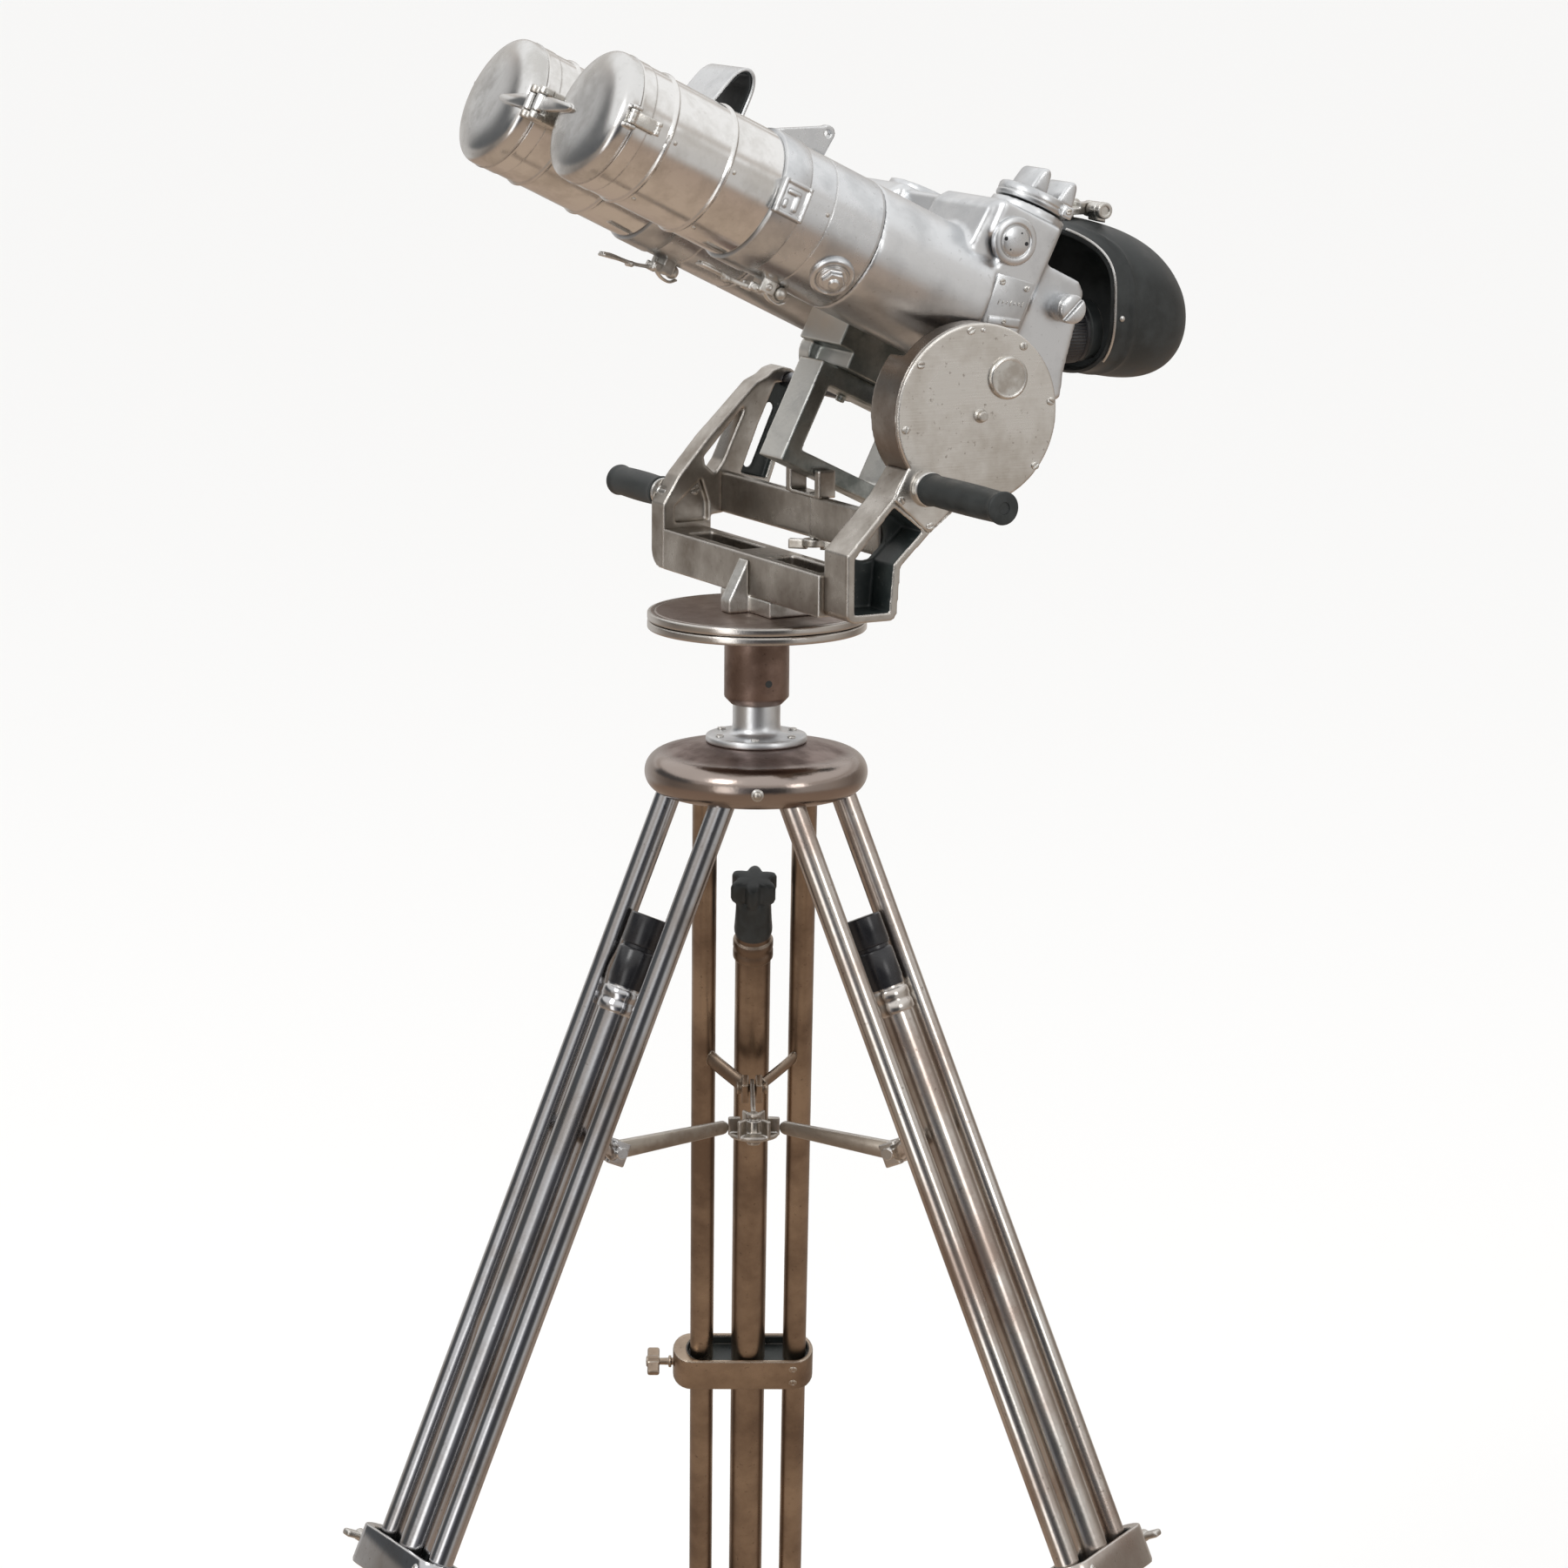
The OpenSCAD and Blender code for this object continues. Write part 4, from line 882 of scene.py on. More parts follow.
# %% Eyepieces and cups
def milled(profile, teeth, depth, z0, z1, seg=240):
    """Revolved profile with a ripple of the radius between two heights."""
    p, f = revolved(profile, seg)
    r = np.hypot(p[:, 0], p[:, 1])
    a = np.arctan2(p[:, 1], p[:, 0])
    on = (p[:, 2] > z0) & (p[:, 2] < z1) & (r > 20)
    k = np.where(on, 1 + depth * np.cos(teeth * a) / np.maximum(r, 1), 1)
    return p * np.column_stack([k, k, np.ones_like(k)]), f


def eyepiece_shape():
    """Draw tube, stop ring, milled focus ring; open in front of the eye lens."""
    prof = [(0.01, 196), (17.6, 196), (18, 196.4), (18, 218), (22.6, 218)]
    prof += arc((22.6, 219.4), 1.4, -90, 0, 4)
    prof += [(24, 224.2), (23.6, 224.8), (23.7, 225.4), (23.7, 240.2), (23.4, 240.8), (23.9, 241.4),
             (23.9, 243.6), (23.5, 244), (15, 244), (15, 246.6), (14.4, 247), (0.01, 246.2)]
    return milled(prof, 60, 0.35, 225.1, 240.4)


def cup_shape():
    """A rubber cup: rounded rim, thin wall, seated on the ring."""
    prof = [(16, 244.1), (23, 244.1)] + arc((22, 246.2), 1.4, -50, 20, 4) + [(22.2, 252.6)]
    prof += arc((20.6, 254.4), 1.6, 0, 180, 8) + [(18.4, 250.2), (16, 248.2)]
    return revolved(prof, 72)


for side_name, s in (("left", 1), ("right", -1)):
    to_eye = facing((s * 32.5, 0, 195), (0, 1, 0))
    piece(side_name + "_eyepiece_ring", side_name + "_eyepiece", "eyepiece_black",
          moved(eyepiece_shape(), to_eye), on_disc, [side_name + "_eyepiece"])
    piece(side_name + "_rubber_cup", side_name + "_eyepiece", "rubber",
          moved(cup_shape(), to_eye), on_disc, [side_name + "_eyecup"])


# %% Handle grips
def grip_shape(length):
    """A sleeve with a flange at each end; radius 11 with a swelling of half a millimetre."""
    z = np.linspace(7, length - 8, 16)
    barrel = [(10.9 + 0.5 * math.sin(math.pi * (t - 7) / (length - 15)), t) for t in z]
    prof = [(6.05, 0)] + arc((10.4, 1.4), 1.4, -90, 40, 5) + [(11.5, 3.4), (11.0, 5.0)] + barrel
    prof += [(11.0, length - 5.2), (11.3, length - 4.2)] + arc((10.5, length - 1.3), 1.2, 0, 90, 5)
    prof += [(4.5, length), (4.3, length - 0.8), (0.01, length - 1.0), (0.01, length - 3.9),
             (6.05, length - 3.9)]
    return revolved(prof, 64)


grips = together(moved(grip_shape(100), facing((150, 57, 104), (1, 0, 0))),
                 moved(grip_shape(72), facing((-153, 1, 66), (-1, 0, 0))))
piece("rubber_grips", "turntable", "rubber", grips, on_disc, ["handle_grips"])

# %% [markdown]
# ## Screws, caps and fittings
# Screw heads are low discs with a real slot: a thin base and two half discs above
# it. Round caps and bosses are turned profiles. Each is drawn round the Z axis and
# faced to its place.

# %% Heads and turned parts
def slotted_head(r, h, slot=1.0, turn=0.4):
    """A screw head on Z = 0: a thin base, and two half discs with the slot between."""
    base = revolved([(0, -0.5), (r, -0.5), (r, 0.4 * h), (0, 0.4 * h)], 24, False)
    a0 = math.asin(slot / 2 / r)
    halves = []
    for start in (turn, turn + math.pi):
        a = np.linspace(a0, math.pi - a0, 12) + start
        halves.append(prism(np.column_stack([r * np.cos(a), r * np.sin(a)]), 0.3 * h, h, 0.18 * h + 0.1))
    return together(base, *halves)


def hexagon(r, turn=0.0):
    """Corners of a hexagon."""
    a = np.radians(np.arange(0, 360, 60)) + turn
    return np.column_stack([r * np.cos(a), r * np.sin(a)])


def curve(points, n=40):
    """A smooth line through the points (cubic through each four, evenly in the index)."""
    p = np.array(points, float)
    q = np.vstack([2 * p[0] - p[1], p, 2 * p[-1] - p[-2]])
    t = np.linspace(0, len(p) - 1 - 1e-9, n)
    i = t.astype(int)
    f = (t - i)[:, None]
    a, b, c, d = q[i], q[i + 1], q[i + 2], q[i + 3]
    bend, twist = 2 * a - 5 * b + 4 * c - d, 3 * b - a - 3 * c + d
    return 0.5 * (2 * b + (c - a) * f + bend * f ** 2 + twist * f ** 3)


# %% [markdown]
# ### On the barrels
# A round boss with a hexagon nut sits low on the outer side of each barrel, a square
# catch rest sits on the collar, and a small rivet closes each band of the hood.

# %% Bosses, catch rests and rivets
def round_boss():
    """Stepped boss, hexagon nut and stud on the barrel's low outer side."""
    axis = (math.cos(math.radians(37)), 0, -math.sin(math.radians(37)))
    at = (BARREL_X, -136, BARREL_W)
    body = [(0, 46), (16, 46), (16, 50.4), (15.6, 51.2), (14.8, 51.8), (13.2, 52.1), (12.3, 51.7),
            (11.8, 50.9), (11, 50.6), (0, 50.6)]
    stud = [(0, 50), (3.8, 50), (3.8, 58.6), (3.2, 59.4), (0, 59.6)]
    nut = moved(prism(hexagon(8.5, 0.3), 50.4, 57.0, 1.1, 4), facing(at, axis))
    washer = [(0, 50), (10.2, 50), (10.2, 51.9), (9.6, 52.4), (0, 52.4)]
    return together(turned_part(body, at, axis, 64), turned_part(washer, at, axis, 48), nut,
                    turned_part(stud, at, axis, 24))


def catch_rest():
    """Square rest with a raised border; a keeper with two ridges stands in its recess."""
    a = math.radians(4)
    plate = placed_box((24, 26, 5.4), (0, 0, 49.4), 1.6)
    border = [placed_box((3, 26, 2.2), (s * 10.3, 0, 52.5), 0.9) for s in (-1, 1)]
    border += [placed_box((22, 3, 2.2), (0, s * 11.3, 52.5), 0.9) for s in (-1, 1)]
    keeper = [placed_box((4, 11, 3.0), (2.6, -2.4, 52.6), 1.2),
              placed_box((11, 3.4, 2.6), (-1.2, 4.6, 52.6), 1.1),
              placed_box((3.4, 6, 2.4), (-5.6, -4.5, 52.4), 1.0)]
    out = facing((BARREL_X, -194, BARREL_W), (math.cos(a), 0, math.sin(a)))
    return moved(together(plate, *border, *keeper), out)


def barrel_rivets():
    """Small round heads on the hood's bands and the barrel: (u, degrees up, hood or barrel radius)."""
    heads = []
    for u, deg, r in ((-291.7, 2, 47.0), (-241.8, 3, 47.0), (-163, 7, 48.5), (-291.7, -62, 47.0),
                      (-241.8, -60, 47.0)):
        a = math.radians(deg)
        at = (BARREL_X + r * math.cos(a), u, BARREL_W + r * math.sin(a))
        heads.append(turned_part([(0, -0.6), (1.7, -0.6), (1.7, 0.1), (1.3, 0.7), (0.7, 0.95), (0, 1.0)],
                                 at, (math.cos(a), 0, math.sin(a)), 16))
    return together(*heads)


# %% Prism housing: dial cap, scale plate, plug
DIAL_U, DIAL_W = -13.4, 125


def dial_cap():
    """Round cap with a turned inner disc."""
    rim = [(0, 112.5), (17.5, 112.5), (17.5, 116.4), (17.0, 117.2), (15.8, 117.7), (13.0, 117.8),
           (12.2, 117.3), (11.9, 116.7), (11.4, 116.6), (11.1, 117.0), (10.8, 117.7),
           (10.2, 118.0), (0, 118.0)]
    return turned_part(rim, (0, DIAL_U, DIAL_W), (1, 0, 0), 72)


def dial_hole_shade_and_marks():
    """Two dark pins flush with the disc that are painted shade for the dial's two pin holes, and two more for
    its two lock marks.
    """
    dots = []
    for du, dw, r in ((-8.6, -1.6, 1.5), (8.4, 1.8, 1.5), (1.6, 7.0, 0.7), (-1.8, -7.0, 0.7)):
        dots.append(turned_part([(0, 116), (r, 116), (r, 118.06), (0, 118.06)],
                                (0, DIAL_U + du, DIAL_W + dw), (1, 0, 0), 16))
    return together(*dots)


def scale_plate():
    """Bevelled plate with two screws and a clamped lower edge."""
    outline = [(-15, 100), (16, 105), (18, 71), (-12, 62)]
    plate = moved(prism(outline, 113.4, 115.6, 0.9, 4), lambda p: p[:, [2, 0, 1]])
    clamp = moved(prism([(-9, 69.5), (16, 77.0), (17, 71.5), (-8, 64)], 115.4, 116.6, 0.4),
                  lambda p: p[:, [2, 0, 1]])
    return together(plate, clamp)


def plate_screws():
    """The screws of the scale plate."""
    return together(*[moved(slotted_head(2.3, 1.2, 0.7, 0.7 + i), facing((115.5, u, w), (1, 0, 0)))
                      for i, (u, w) in enumerate(((-9.5, 95.5), (11, 99)))],
                    moved(slotted_head(1.9, 1.0, 0.6, 0.2), facing((116.5, 3.5, 70.5), (1, 0, 0))))


def scale_marks():
    """Short raised graduations along the plate's lower edge."""
    return together(*[placed_box((0.5, 0.7, 4.2 if i % 3 == 0 else 2.6),
                                 (115.9, -6 + 3.1 * i, 82 + 0.93 * i), 0.2) for i in range(7)])


def slotted_plug():
    """Stout plug with a rounded rim and one wide slot."""
    neck = [(0, 108), (9.4, 108), (9.4, 114), (10.5, 115), (10.5, 120.6), (0, 120.6)]
    head = moved(slotted_head(10.4, 4.6, 2.2, 1.2), facing((120.4, 48, 100), (1, 0, 0)))
    return together(turned_part(neck, (0, 48, 100), (1, 0, 0), 48), head)


LATCH_PIN = (BARREL_X, -172, 17.5)


def latch_seat():
    """Foot under the collar with ears and pin, and beside it a block, a screw, a ball and a hook."""
    foot = placed_box((14, 9.6, 12), (BARREL_X, -163, 21.5), 1.2)
    ears = [placed_box((2.8, 8.6, 6.4), (BARREL_X + x, -171, 17.5), 1.0) for x in (-5.5, 5.5)]
    pin = turned_part([(0, -8.2), (2.4, -8.2), (2.4, -7), (1.45, -7), (1.45, 7), (2.4, 7),
                       (2.4, 8.2), (0, 8.2)],
                      LATCH_PIN, (1, 0, 0), 20)
    block = placed_box((5, 12, 10.5), (BARREL_X + 9.2, -163.5, 21.5), 0.9)
    screw = turned_part([(0, 0), (2.3, 0), (2.3, 1.0), (1.6, 1.5), (0.8, 1.5), (0.6, 0.9), (0, 0.9)],
                        (BARREL_X + 11.6, -163.5, 21.2), (1, 0, 0), 20)
    ball = turned_part(arc((0, 0), 5.2, -90, 90, 14), (BARREL_X + 8.6, -152.0, 20.6), (1, 0, 0), 32)
    hook = swept(curve([(BARREL_X + 8.5, -164, 16.4), (BARREL_X + 8.8, -158, 13.6),
                        (BARREL_X + 8.8, -151, 13.2), (BARREL_X + 8.6, -146.5, 16.6)], 18),
                 oval(3.0, 1.1, 12))
    return together(foot, *ears, pin, block, screw, ball, hook)


caps = both(together(round_boss(), catch_rest(), dial_cap(), scale_plate(), slotted_plug()))
small = both(together(barrel_rivets(), plate_screws(), scale_marks()))
piece("body_fittings", "binocular", "barrel_alloy", caps, in_body, ["side_fittings"])
piece("small_fittings", "binocular", "fastener", small, in_body)
piece("latch_seats", "binocular", "pale_casting", both(latch_seat()), in_body)
# Dark pins on each dial: painted shade in the two pin holes, and the two lock marks.
piece("dial_shade_and_marks", "binocular", "eyepiece_black", both(dial_hole_shade_and_marks()), in_body)

# %% [markdown]
# ### Latches
# Each over-centre latch is a bent spring lever on a pin, with a pressed finger end
# and a roller. The right one hangs open by ten degrees, as it does in the picture.

# %% Over-centre latches
def latch_shape():
    """Two curved leaves, the roller between them and the finger end, closed position."""
    leaf_line = curve([(0, -170, 17.2), (0, -178, 15.9), (0, -188, 15.2), (0, -199, 15.8), (0, -209, 17.0),
                       (0, -215, 16.4)], 30)
    leaf = [moved(swept(leaf_line, [(-0.9, -1.3), (0.9, -1.3), (0.9, 1.3), (-0.9, 1.3)]),
                  shift(BARREL_X + s * 2.6, 0, 0))
            for s in (-1, 1)]
    web = moved(swept(leaf_line[6:], [(-3.0, -0.5), (3.0, -0.5), (3.0, 0.5), (-3.0, 0.5)]),
                shift(BARREL_X, 0, 0))
    finger = placed_box((11.6, 17, 2.2), (BARREL_X, -206.5, 15.6), 1.0)
    hub = turned_part([(1.58, -3.6), (2.8, -3.6), (3.05, -3.3), (3.05, 3.3), (2.8, 3.6), (1.58, 3.6)],
                      LATCH_PIN, (1, 0, 0), 24, True)
    roller = turned_part([(0, -5.6), (1.3, -5.6), (1.3, -3.8), (2.2, -3.6), (2.2, 3.6), (1.3, 3.8),
                          (1.3, 5.6), (0, 5.6)],
                         (BARREL_X, -191, 14.6), (1, 0, 0), 20)
    return together(*leaf, web, finger, hub, roller)


def hung_open(p, degrees=10.0):
    """Turns the lever about its pin: du' = du cos a - dw sin a, dw' = du sin a + dw cos a."""
    _, u, w = LATCH_PIN
    a = math.radians(degrees)
    q = np.array(p, float)
    du, dw = q[:, 1] - u, q[:, 2] - w
    q[:, 1], q[:, 2] = u + du * math.cos(a) - dw * math.sin(a), w + du * math.sin(a) + dw * math.cos(a)
    return q


latch = latch_shape()
piece("left_latch_lever", "left_latch", "pale_casting", latch, in_body, ["left_latch"])
piece("right_latch_lever", "right_latch", "pale_casting", moved(moved(latch, mirrored), hung_open), in_body,
      ["right_latch"])

# %% [markdown]
# ### Sight arch and lug
# The sight arch is a bent sheet open to both sides, bright outside and painted dark
# inside. The lug behind it is a cast fin with a screw hole.

# %% Sight arch
def strip_section(half, thick, r=0.7):
    """A flat section with rounded long edges: half width, thickness."""
    t = thick / 2
    return [(-half, -t + r), (-half + r, -t), (half - r, -t), (half, -t + r), (half, t - r), (half - r, t),
            (-half + r, t), (-half, t - r)]


arch_line = [(0, -235.3, 113), (0, -232.8, 122), (0, -229, 131), (0, -225.6, 142), (0, -221.8, 152),
             (0, -217, 157.6), (0, -211.8, 158.6), (0, -207.2, 154.8), (0, -204.6, 146), (0, -204.2, 130),
             (0, -204.2, 113)]
arch = swept(curve(arch_line, 60), strip_section(26, 2.6))
lining_line = [(0, u + (1.9 if u < -218 else -1.9 if u > -208 else 0),
                w - (1.9 if -222 < u < -206 and w > 150 else 0))
               for _, u, w in arch_line]
lining = swept(curve(lining_line, 60), strip_section(24.6, 1.0, 0.3))
piece("sight_arch", "binocular", "barrel_alloy", arch, in_body, ["sight_hood"])
piece("sight_lining", "binocular", "rubber", lining, in_body)
for small_name, small_voxel in {"sight_lug": 0.5, "shield_bracket": 0.6, "face_shield_arm": 0.55,
                                "lid_hinge_bracket": 0.6, "elevation_wing_screw": 0.5}.items():
    as_cast(small_name, small_voxel, 3, 0.5)

# %% [markdown]
# ### Filter knob
# A turned disc with a fine bead round its edge, two rounded fins for finger and
# thumb, and a small pointer block with a brass screw.

# %% Filter knob
def knob_shape():
    """Disc, shaft, fins and pointer block on the near prism housing."""
    disc = [(4.0, 111), (4.0, 158.2), (24.8, 158.2), (26.0, 158.8), (26.5, 159.8), (26.5, 162.0),
            (25.9, 162.5), (25.9, 163.1),
            (26.5, 163.6), (26.5, 167.0), (25.8, 168.4), (24.4, 169.0), (18, 169.3),
            (0.01, 169.3), (0.01, 111)]
    base = moved(revolved(disc, 96), shift(BARREL_X, 11, 0))
    fins = []
    for u in (-3, 21):
        side = curve([(u, 168), (u + 1.6, 176), (u + 4.2, 184.2), (u + 8.4, 186.6), (u + 12, 184),
                      (u + 14, 176), (u + 15, 168)], 30)
        fins.append(moved(prism(side, BARREL_X - 15.5, BARREL_X + 15.5, 2.6, 5), lambda p: p[:, [2, 0, 1]]))
    pointer = placed_box((12, 9, 9), (BARREL_X + 20.5, 27, 163.4), 1.4)
    return together(base, *fins, pointer)


piece("filter_knob_turned", "filter_turret", "barrel_alloy", knob_shape(), in_body, ["filter_knob"])
pointer_screw = moved(slotted_head(2.4, 1.0, 0.7), facing((BARREL_X + 26.4, 27, 164), (1, 0, 0)))
piece("pointer_screw", "filter_turret", "fastener", pointer_screw, in_body)

# %% [markdown]
# ### Drum, handles and shield hinge
# The drum's cover has screws round its rim, one bare round cap and a pin. Each
# handle rod stands on a turned boss. The hinge screw of the face shield has a socket
# in its end.

# %% Cover fittings
def cover_fittings():
    """Screws, round cap and pin on the drum's cover; heights above the turntable."""
    parts = []
    for i, (y, z) in enumerate(((91, 213), (134, 200), (51, 191), (39.5, 146), (157, 160), (145, 115),
                                (36.5, 96.5), (60, 77))):
        parts.append(moved(slotted_head(2.9, 1.2, 0.8, 0.5 + 1.3 * i), facing((144, y, z), (1, 0, 0))))
    parts.append(moved(slotted_head(1.7, 0.8, 0.6, 1.0), facing((144, 101, 213), (1, 0, 0))))
    cap = [(0, 143), (15.3, 143), (15.3, 145.6), (15.0, 146.4), (14.3, 146.9), (13.2, 147.0),
           (12.8, 146.7), (0, 146.8)]
    pin = [(0, 143), (5.2, 143), (5.0, 144.6), (4.0, 145.2), (3.9, 148.0), (3.3, 149.0), (0, 149.3)]
    parts += [turned_part(cap, (0, 121.3, 178.5), (1, 0, 0), 64),
              turned_part(pin, (0, 99.8, 152.7), (1, 0, 0), 32)]
    parts.append(moved(slotted_head(4.0, 1.6, 1.0, 0.2), facing((-136, 19, 69), (1, 0, 0))))
    return together(*parts)


piece("cover_fittings", "turntable", "fastener", cover_fittings(), on_disc, ["drum_fittings"])


# %% Handle rods
def rod_profile(length, boss):
    """Plain rod with a turned boss of the given radius where it leaves the arm."""
    return [(0, 0), (6, 0), (6, length), (0, length)], [(0, 0), (boss, 0), (boss + 0.6, 1.2),
                                                        (boss - 0.4, 4.6), (boss - 1.6, 5.4), (0, 5.4)]


near_rod, near_boss = rod_profile(121, 12.4)
far_rod, far_boss = rod_profile(82, 10.4)
rods = together(turned_part(near_rod, (124.5, 57, 104), (1, 0, 0), 40),
                turned_part(near_boss, (144.1, 57, 104), (1, 0, 0), 48),
                turned_part(far_rod, (-138.5, 1, 66), (-1, 0, 0), 40),
                turned_part(far_boss, (-150.1, 1, 66), (-1, 0, 0), 48))
piece("handle_rods_turned", "turntable", "bright_steel", rods, on_disc, ["handle_rods"])
socket = turned_part([(0, 29), (6.2, 29), (6.2, 33.4), (5.6, 34.2), (3.6, 34.2), (3.2, 33.8),
                      (3.2, 31.2), (0, 31.2)],
                     (0, 268, 281), (1, 0, 0), 40)
piece("shield_hinge_screw", "binocular", "fastener", socket, on_disc)

# %% [markdown]
# ## Stand
# The two turntable discs are turned plates with a polished, rounded edge. The head
# is a cast dish with a rolled rim. Both are profiles turned about the azimuth axis.

# %% Turntable discs and column
def disc_profile(top, r=79.5, bore=12.0, thick=6.1):
    """A plate with a polished rounded edge and a small step just inside it."""
    low = top - thick
    edge = arc((r - 1.4, low + 1.4), 1.4, -80, 0, 4) + arc((r - 1.6, top - 1.6), 1.6, 0, 85, 5)
    step = [(r - 4.5, top - 0.1), (r - 4.9, top - 0.5), (r - 5.4, top - 0.5), (r - 5.9, top - 0.05)]
    return [(bore, low), (r - 1.6, low)] + edge + step + [(bore, top)]


piece("upper_disc", "turntable", "disc_steel", revolved(disc_profile(0.0), 160), on_disc, ["turntable_disc"])
sleeve = [(79.5 - 1.6, -12.7)] + arc((78.1, -11.3), 1.4, -80, 0, 4) + arc((77.9, -8.2), 1.6, 0, 85, 5)
base_profile = [(17.4, -68.1), (18.6, -68.1), (23.3, -63.2), (23.6, -62.2), (23.6, -16.0)]
base_profile += arc((26.4, -15.4), 2.7, 180, 90, 5) + sleeve
base_profile += [(60, -6.6), (12.1, -6.6), (12.1, -41.9), (17.4, -41.9)]
piece("lower_disc", "stand_head", "disc_steel", revolved(base_profile, 160), on_disc, ["turntable_base"])
LOCK_TURN = math.radians(-6.3)
hole_dark = turned_part([(0, 23.2), (2.6, 23.2), (2.6, 23.75), (2.2, 23.8), (0, 23.7)],
                        (0, 0, -50.4), (math.cos(LOCK_TURN), math.sin(LOCK_TURN), 0), 24)
piece("lock_hole_shade", "stand_head", "rubber", hole_dark, on_disc)
flange_profile = [(0.01, -96.3), (35.6, -96.3), (36.9, -95.2), (36.9, -92.2), (36.3, -91.2), (35.0, -90.7),
                  (22.5, -90.2), (20.2, -89.2), (18.6, -87.6), (17.6, -85.0), (17.3, -82.0), (17.3, -42.2),
                  (0.01, -42.2)]
piece("column_flange_turned", "stand_head", "casting_alloy", revolved(flange_profile, 96), on_disc,
      ["column_flange"])

# %% Tripod head
def head_profile():
    """Crowned plate, rolled rim and the hollow underneath."""
    prof = [(0.01, -96.3), (37, -96.3), (44, -97.4), (54, -99.9), (62, -102.3)]
    prof += arc((66.2, -118), 15.0, 84, -90, 26)
    prof += arc((66.2, -129), 3.4, -60, -180, 7) + [(62.6, -118)]
    return prof + arc((58, -112), 4, 0, 90, 4) + [(0.01, -108.8)]


lugs = []
for k in range(3):
    a = LEG_AZ[k]
    along, across = (math.cos(a), math.sin(a), 0), (-math.sin(a), math.cos(a), 0)
    turn = np.array([along, across, (0, 0, 1)])
    for s in (-1, 1):
        lugs.append(moved(soft_box((22, 5, 23), 1.5), lambda p, t=turn, s=s: (p + [47, s * 13, -121]) @ t))
piece("tripod_head_cast", "stand_head", "head_steel", together(revolved(head_profile(), 160), *lugs),
      on_disc, ["tripod_head"])
rim_screws = []
for k in range(3):
    a = LEG_AZ[k] + math.radians(60)
    axis = (math.cos(a), math.sin(a), 0)
    rim_screws.append(turned_part([(0, 78), (4.6, 78), (4.6, 81.6), (3.9, 82.2), (3.4, 82.2), (3.2, 82.8),
                                   (2.4, 83.9), (1.2, 84.4), (0, 84.5)],
                                  (0, 0, -120), axis, 28))
for k in range(6):
    a = math.radians(30 + 60 * k)
    rim_screws.append(moved(slotted_head(3.0, 1.4, 0.9, 0.3 + k),
                            facing((30 * math.cos(a), 30 * math.sin(a), -90.6), (0, 0, 1))))
piece("head_screws", "stand_head", "fastener", together(*rim_screws), on_disc, ["stand_screws"])

# %% [markdown]
# ## Legs
# A leg is two fixed side tubes with a sliding tube between them. Every tube is a
# turned profile. The front side tubes have been knocked about, so they have a few
# dents: each pulls the wall in by d * exp(-(along / l)^2 - (round / w)^2). The clamp
# collar is a casting with a dark recess in its top, and the spreader's bracket
# stands on two bent straps.

# %% Leg frames
COLLAR = (566, 586, 586)
SCREW_SIDE = (1, -1, 1)
TUBE_ACROSS = 37
BRACKET_OUT, BRACKET_DOWN = -40.7, 269.1
DENTS = [[], [(-1, 146, 1.9, 1.6, 9), (-1, 420, 2.2, 1.3, 10)],
         [(1, 96, 2.2, 1.0, 8), (1, 182, 2.4, 1.8, 10), (1, 212, 2.6, 2.2, 10), (1, 352, 2.5, 2.6, 11),
          (1, 300, 2.0, 0.8, 8)]]


def side_tube(k, side, r=9.2, low=860.0):
    """One fixed tube from the head down, with its dents; points as (outward, across, down)."""
    t = np.concatenate([np.linspace(-2, low - 1.2, 170), [low - 0.3, low]])
    a = np.linspace(0, 2 * math.pi, 40, endpoint=False)
    T, A = np.meshgrid(t, a, indexing="ij")
    R = np.full(T.shape, r)
    R[-1] -= 1.0
    for s, at, ang, depth, length in DENTS[k]:
        if s == side:
            d = (A - ang + math.pi) % (2 * math.pi) - math.pi
            R = R - depth * np.exp(-((T - at) / length) ** 2 - (d / 0.55) ** 2)
            R = R + 0.25 * depth * np.exp(-((T - at) / (1.6 * length)) ** 2 - ((np.abs(d) - 0.95) / 0.4) ** 2)
    p = np.stack([R * np.cos(A), side * TUBE_ACROSS + R * np.sin(A), T], -1).reshape(-1, 3)
    n, m = T.shape
    f = grid_faces(n, m, wrap_m=True) + [list(range(m)), list(range((n - 1) * m, n * m))[::-1]]
    return p, f


def upward(p):
    """A shape drawn with (outward, across, up) turned to (outward, across, down)."""
    return np.asarray(p, float) * [1, 1, -1]


def collar_outline(side, inset=0.0, lug=0.0):
    """Plan of the clamp collar, round at both ends, drawn in by inset, and by lug at the screw's end."""
    ends = []
    for f, last in ((1, 60 if side > 0 else 52), (-1, 52 if side > 0 else 60)):
        y = last - 15 - (lug if last > 55 else 0)
        turn = np.radians(np.linspace(-90, 90, 13) + (0 if f > 0 else 180))
        ends += [((18.0 - inset) * math.sin(a), f * y + (15 - inset) * math.cos(a)) for a in turn]
    return ends


def tray(side, rows):
    """A closed dish on the collar's plan; each row is (inset, lug, height)."""
    p = np.array([[x, y, z] for inset, lug, z in rows for x, y in collar_outline(side, inset, lug)])
    return p, capped(len(rows), len(p) // len(rows))


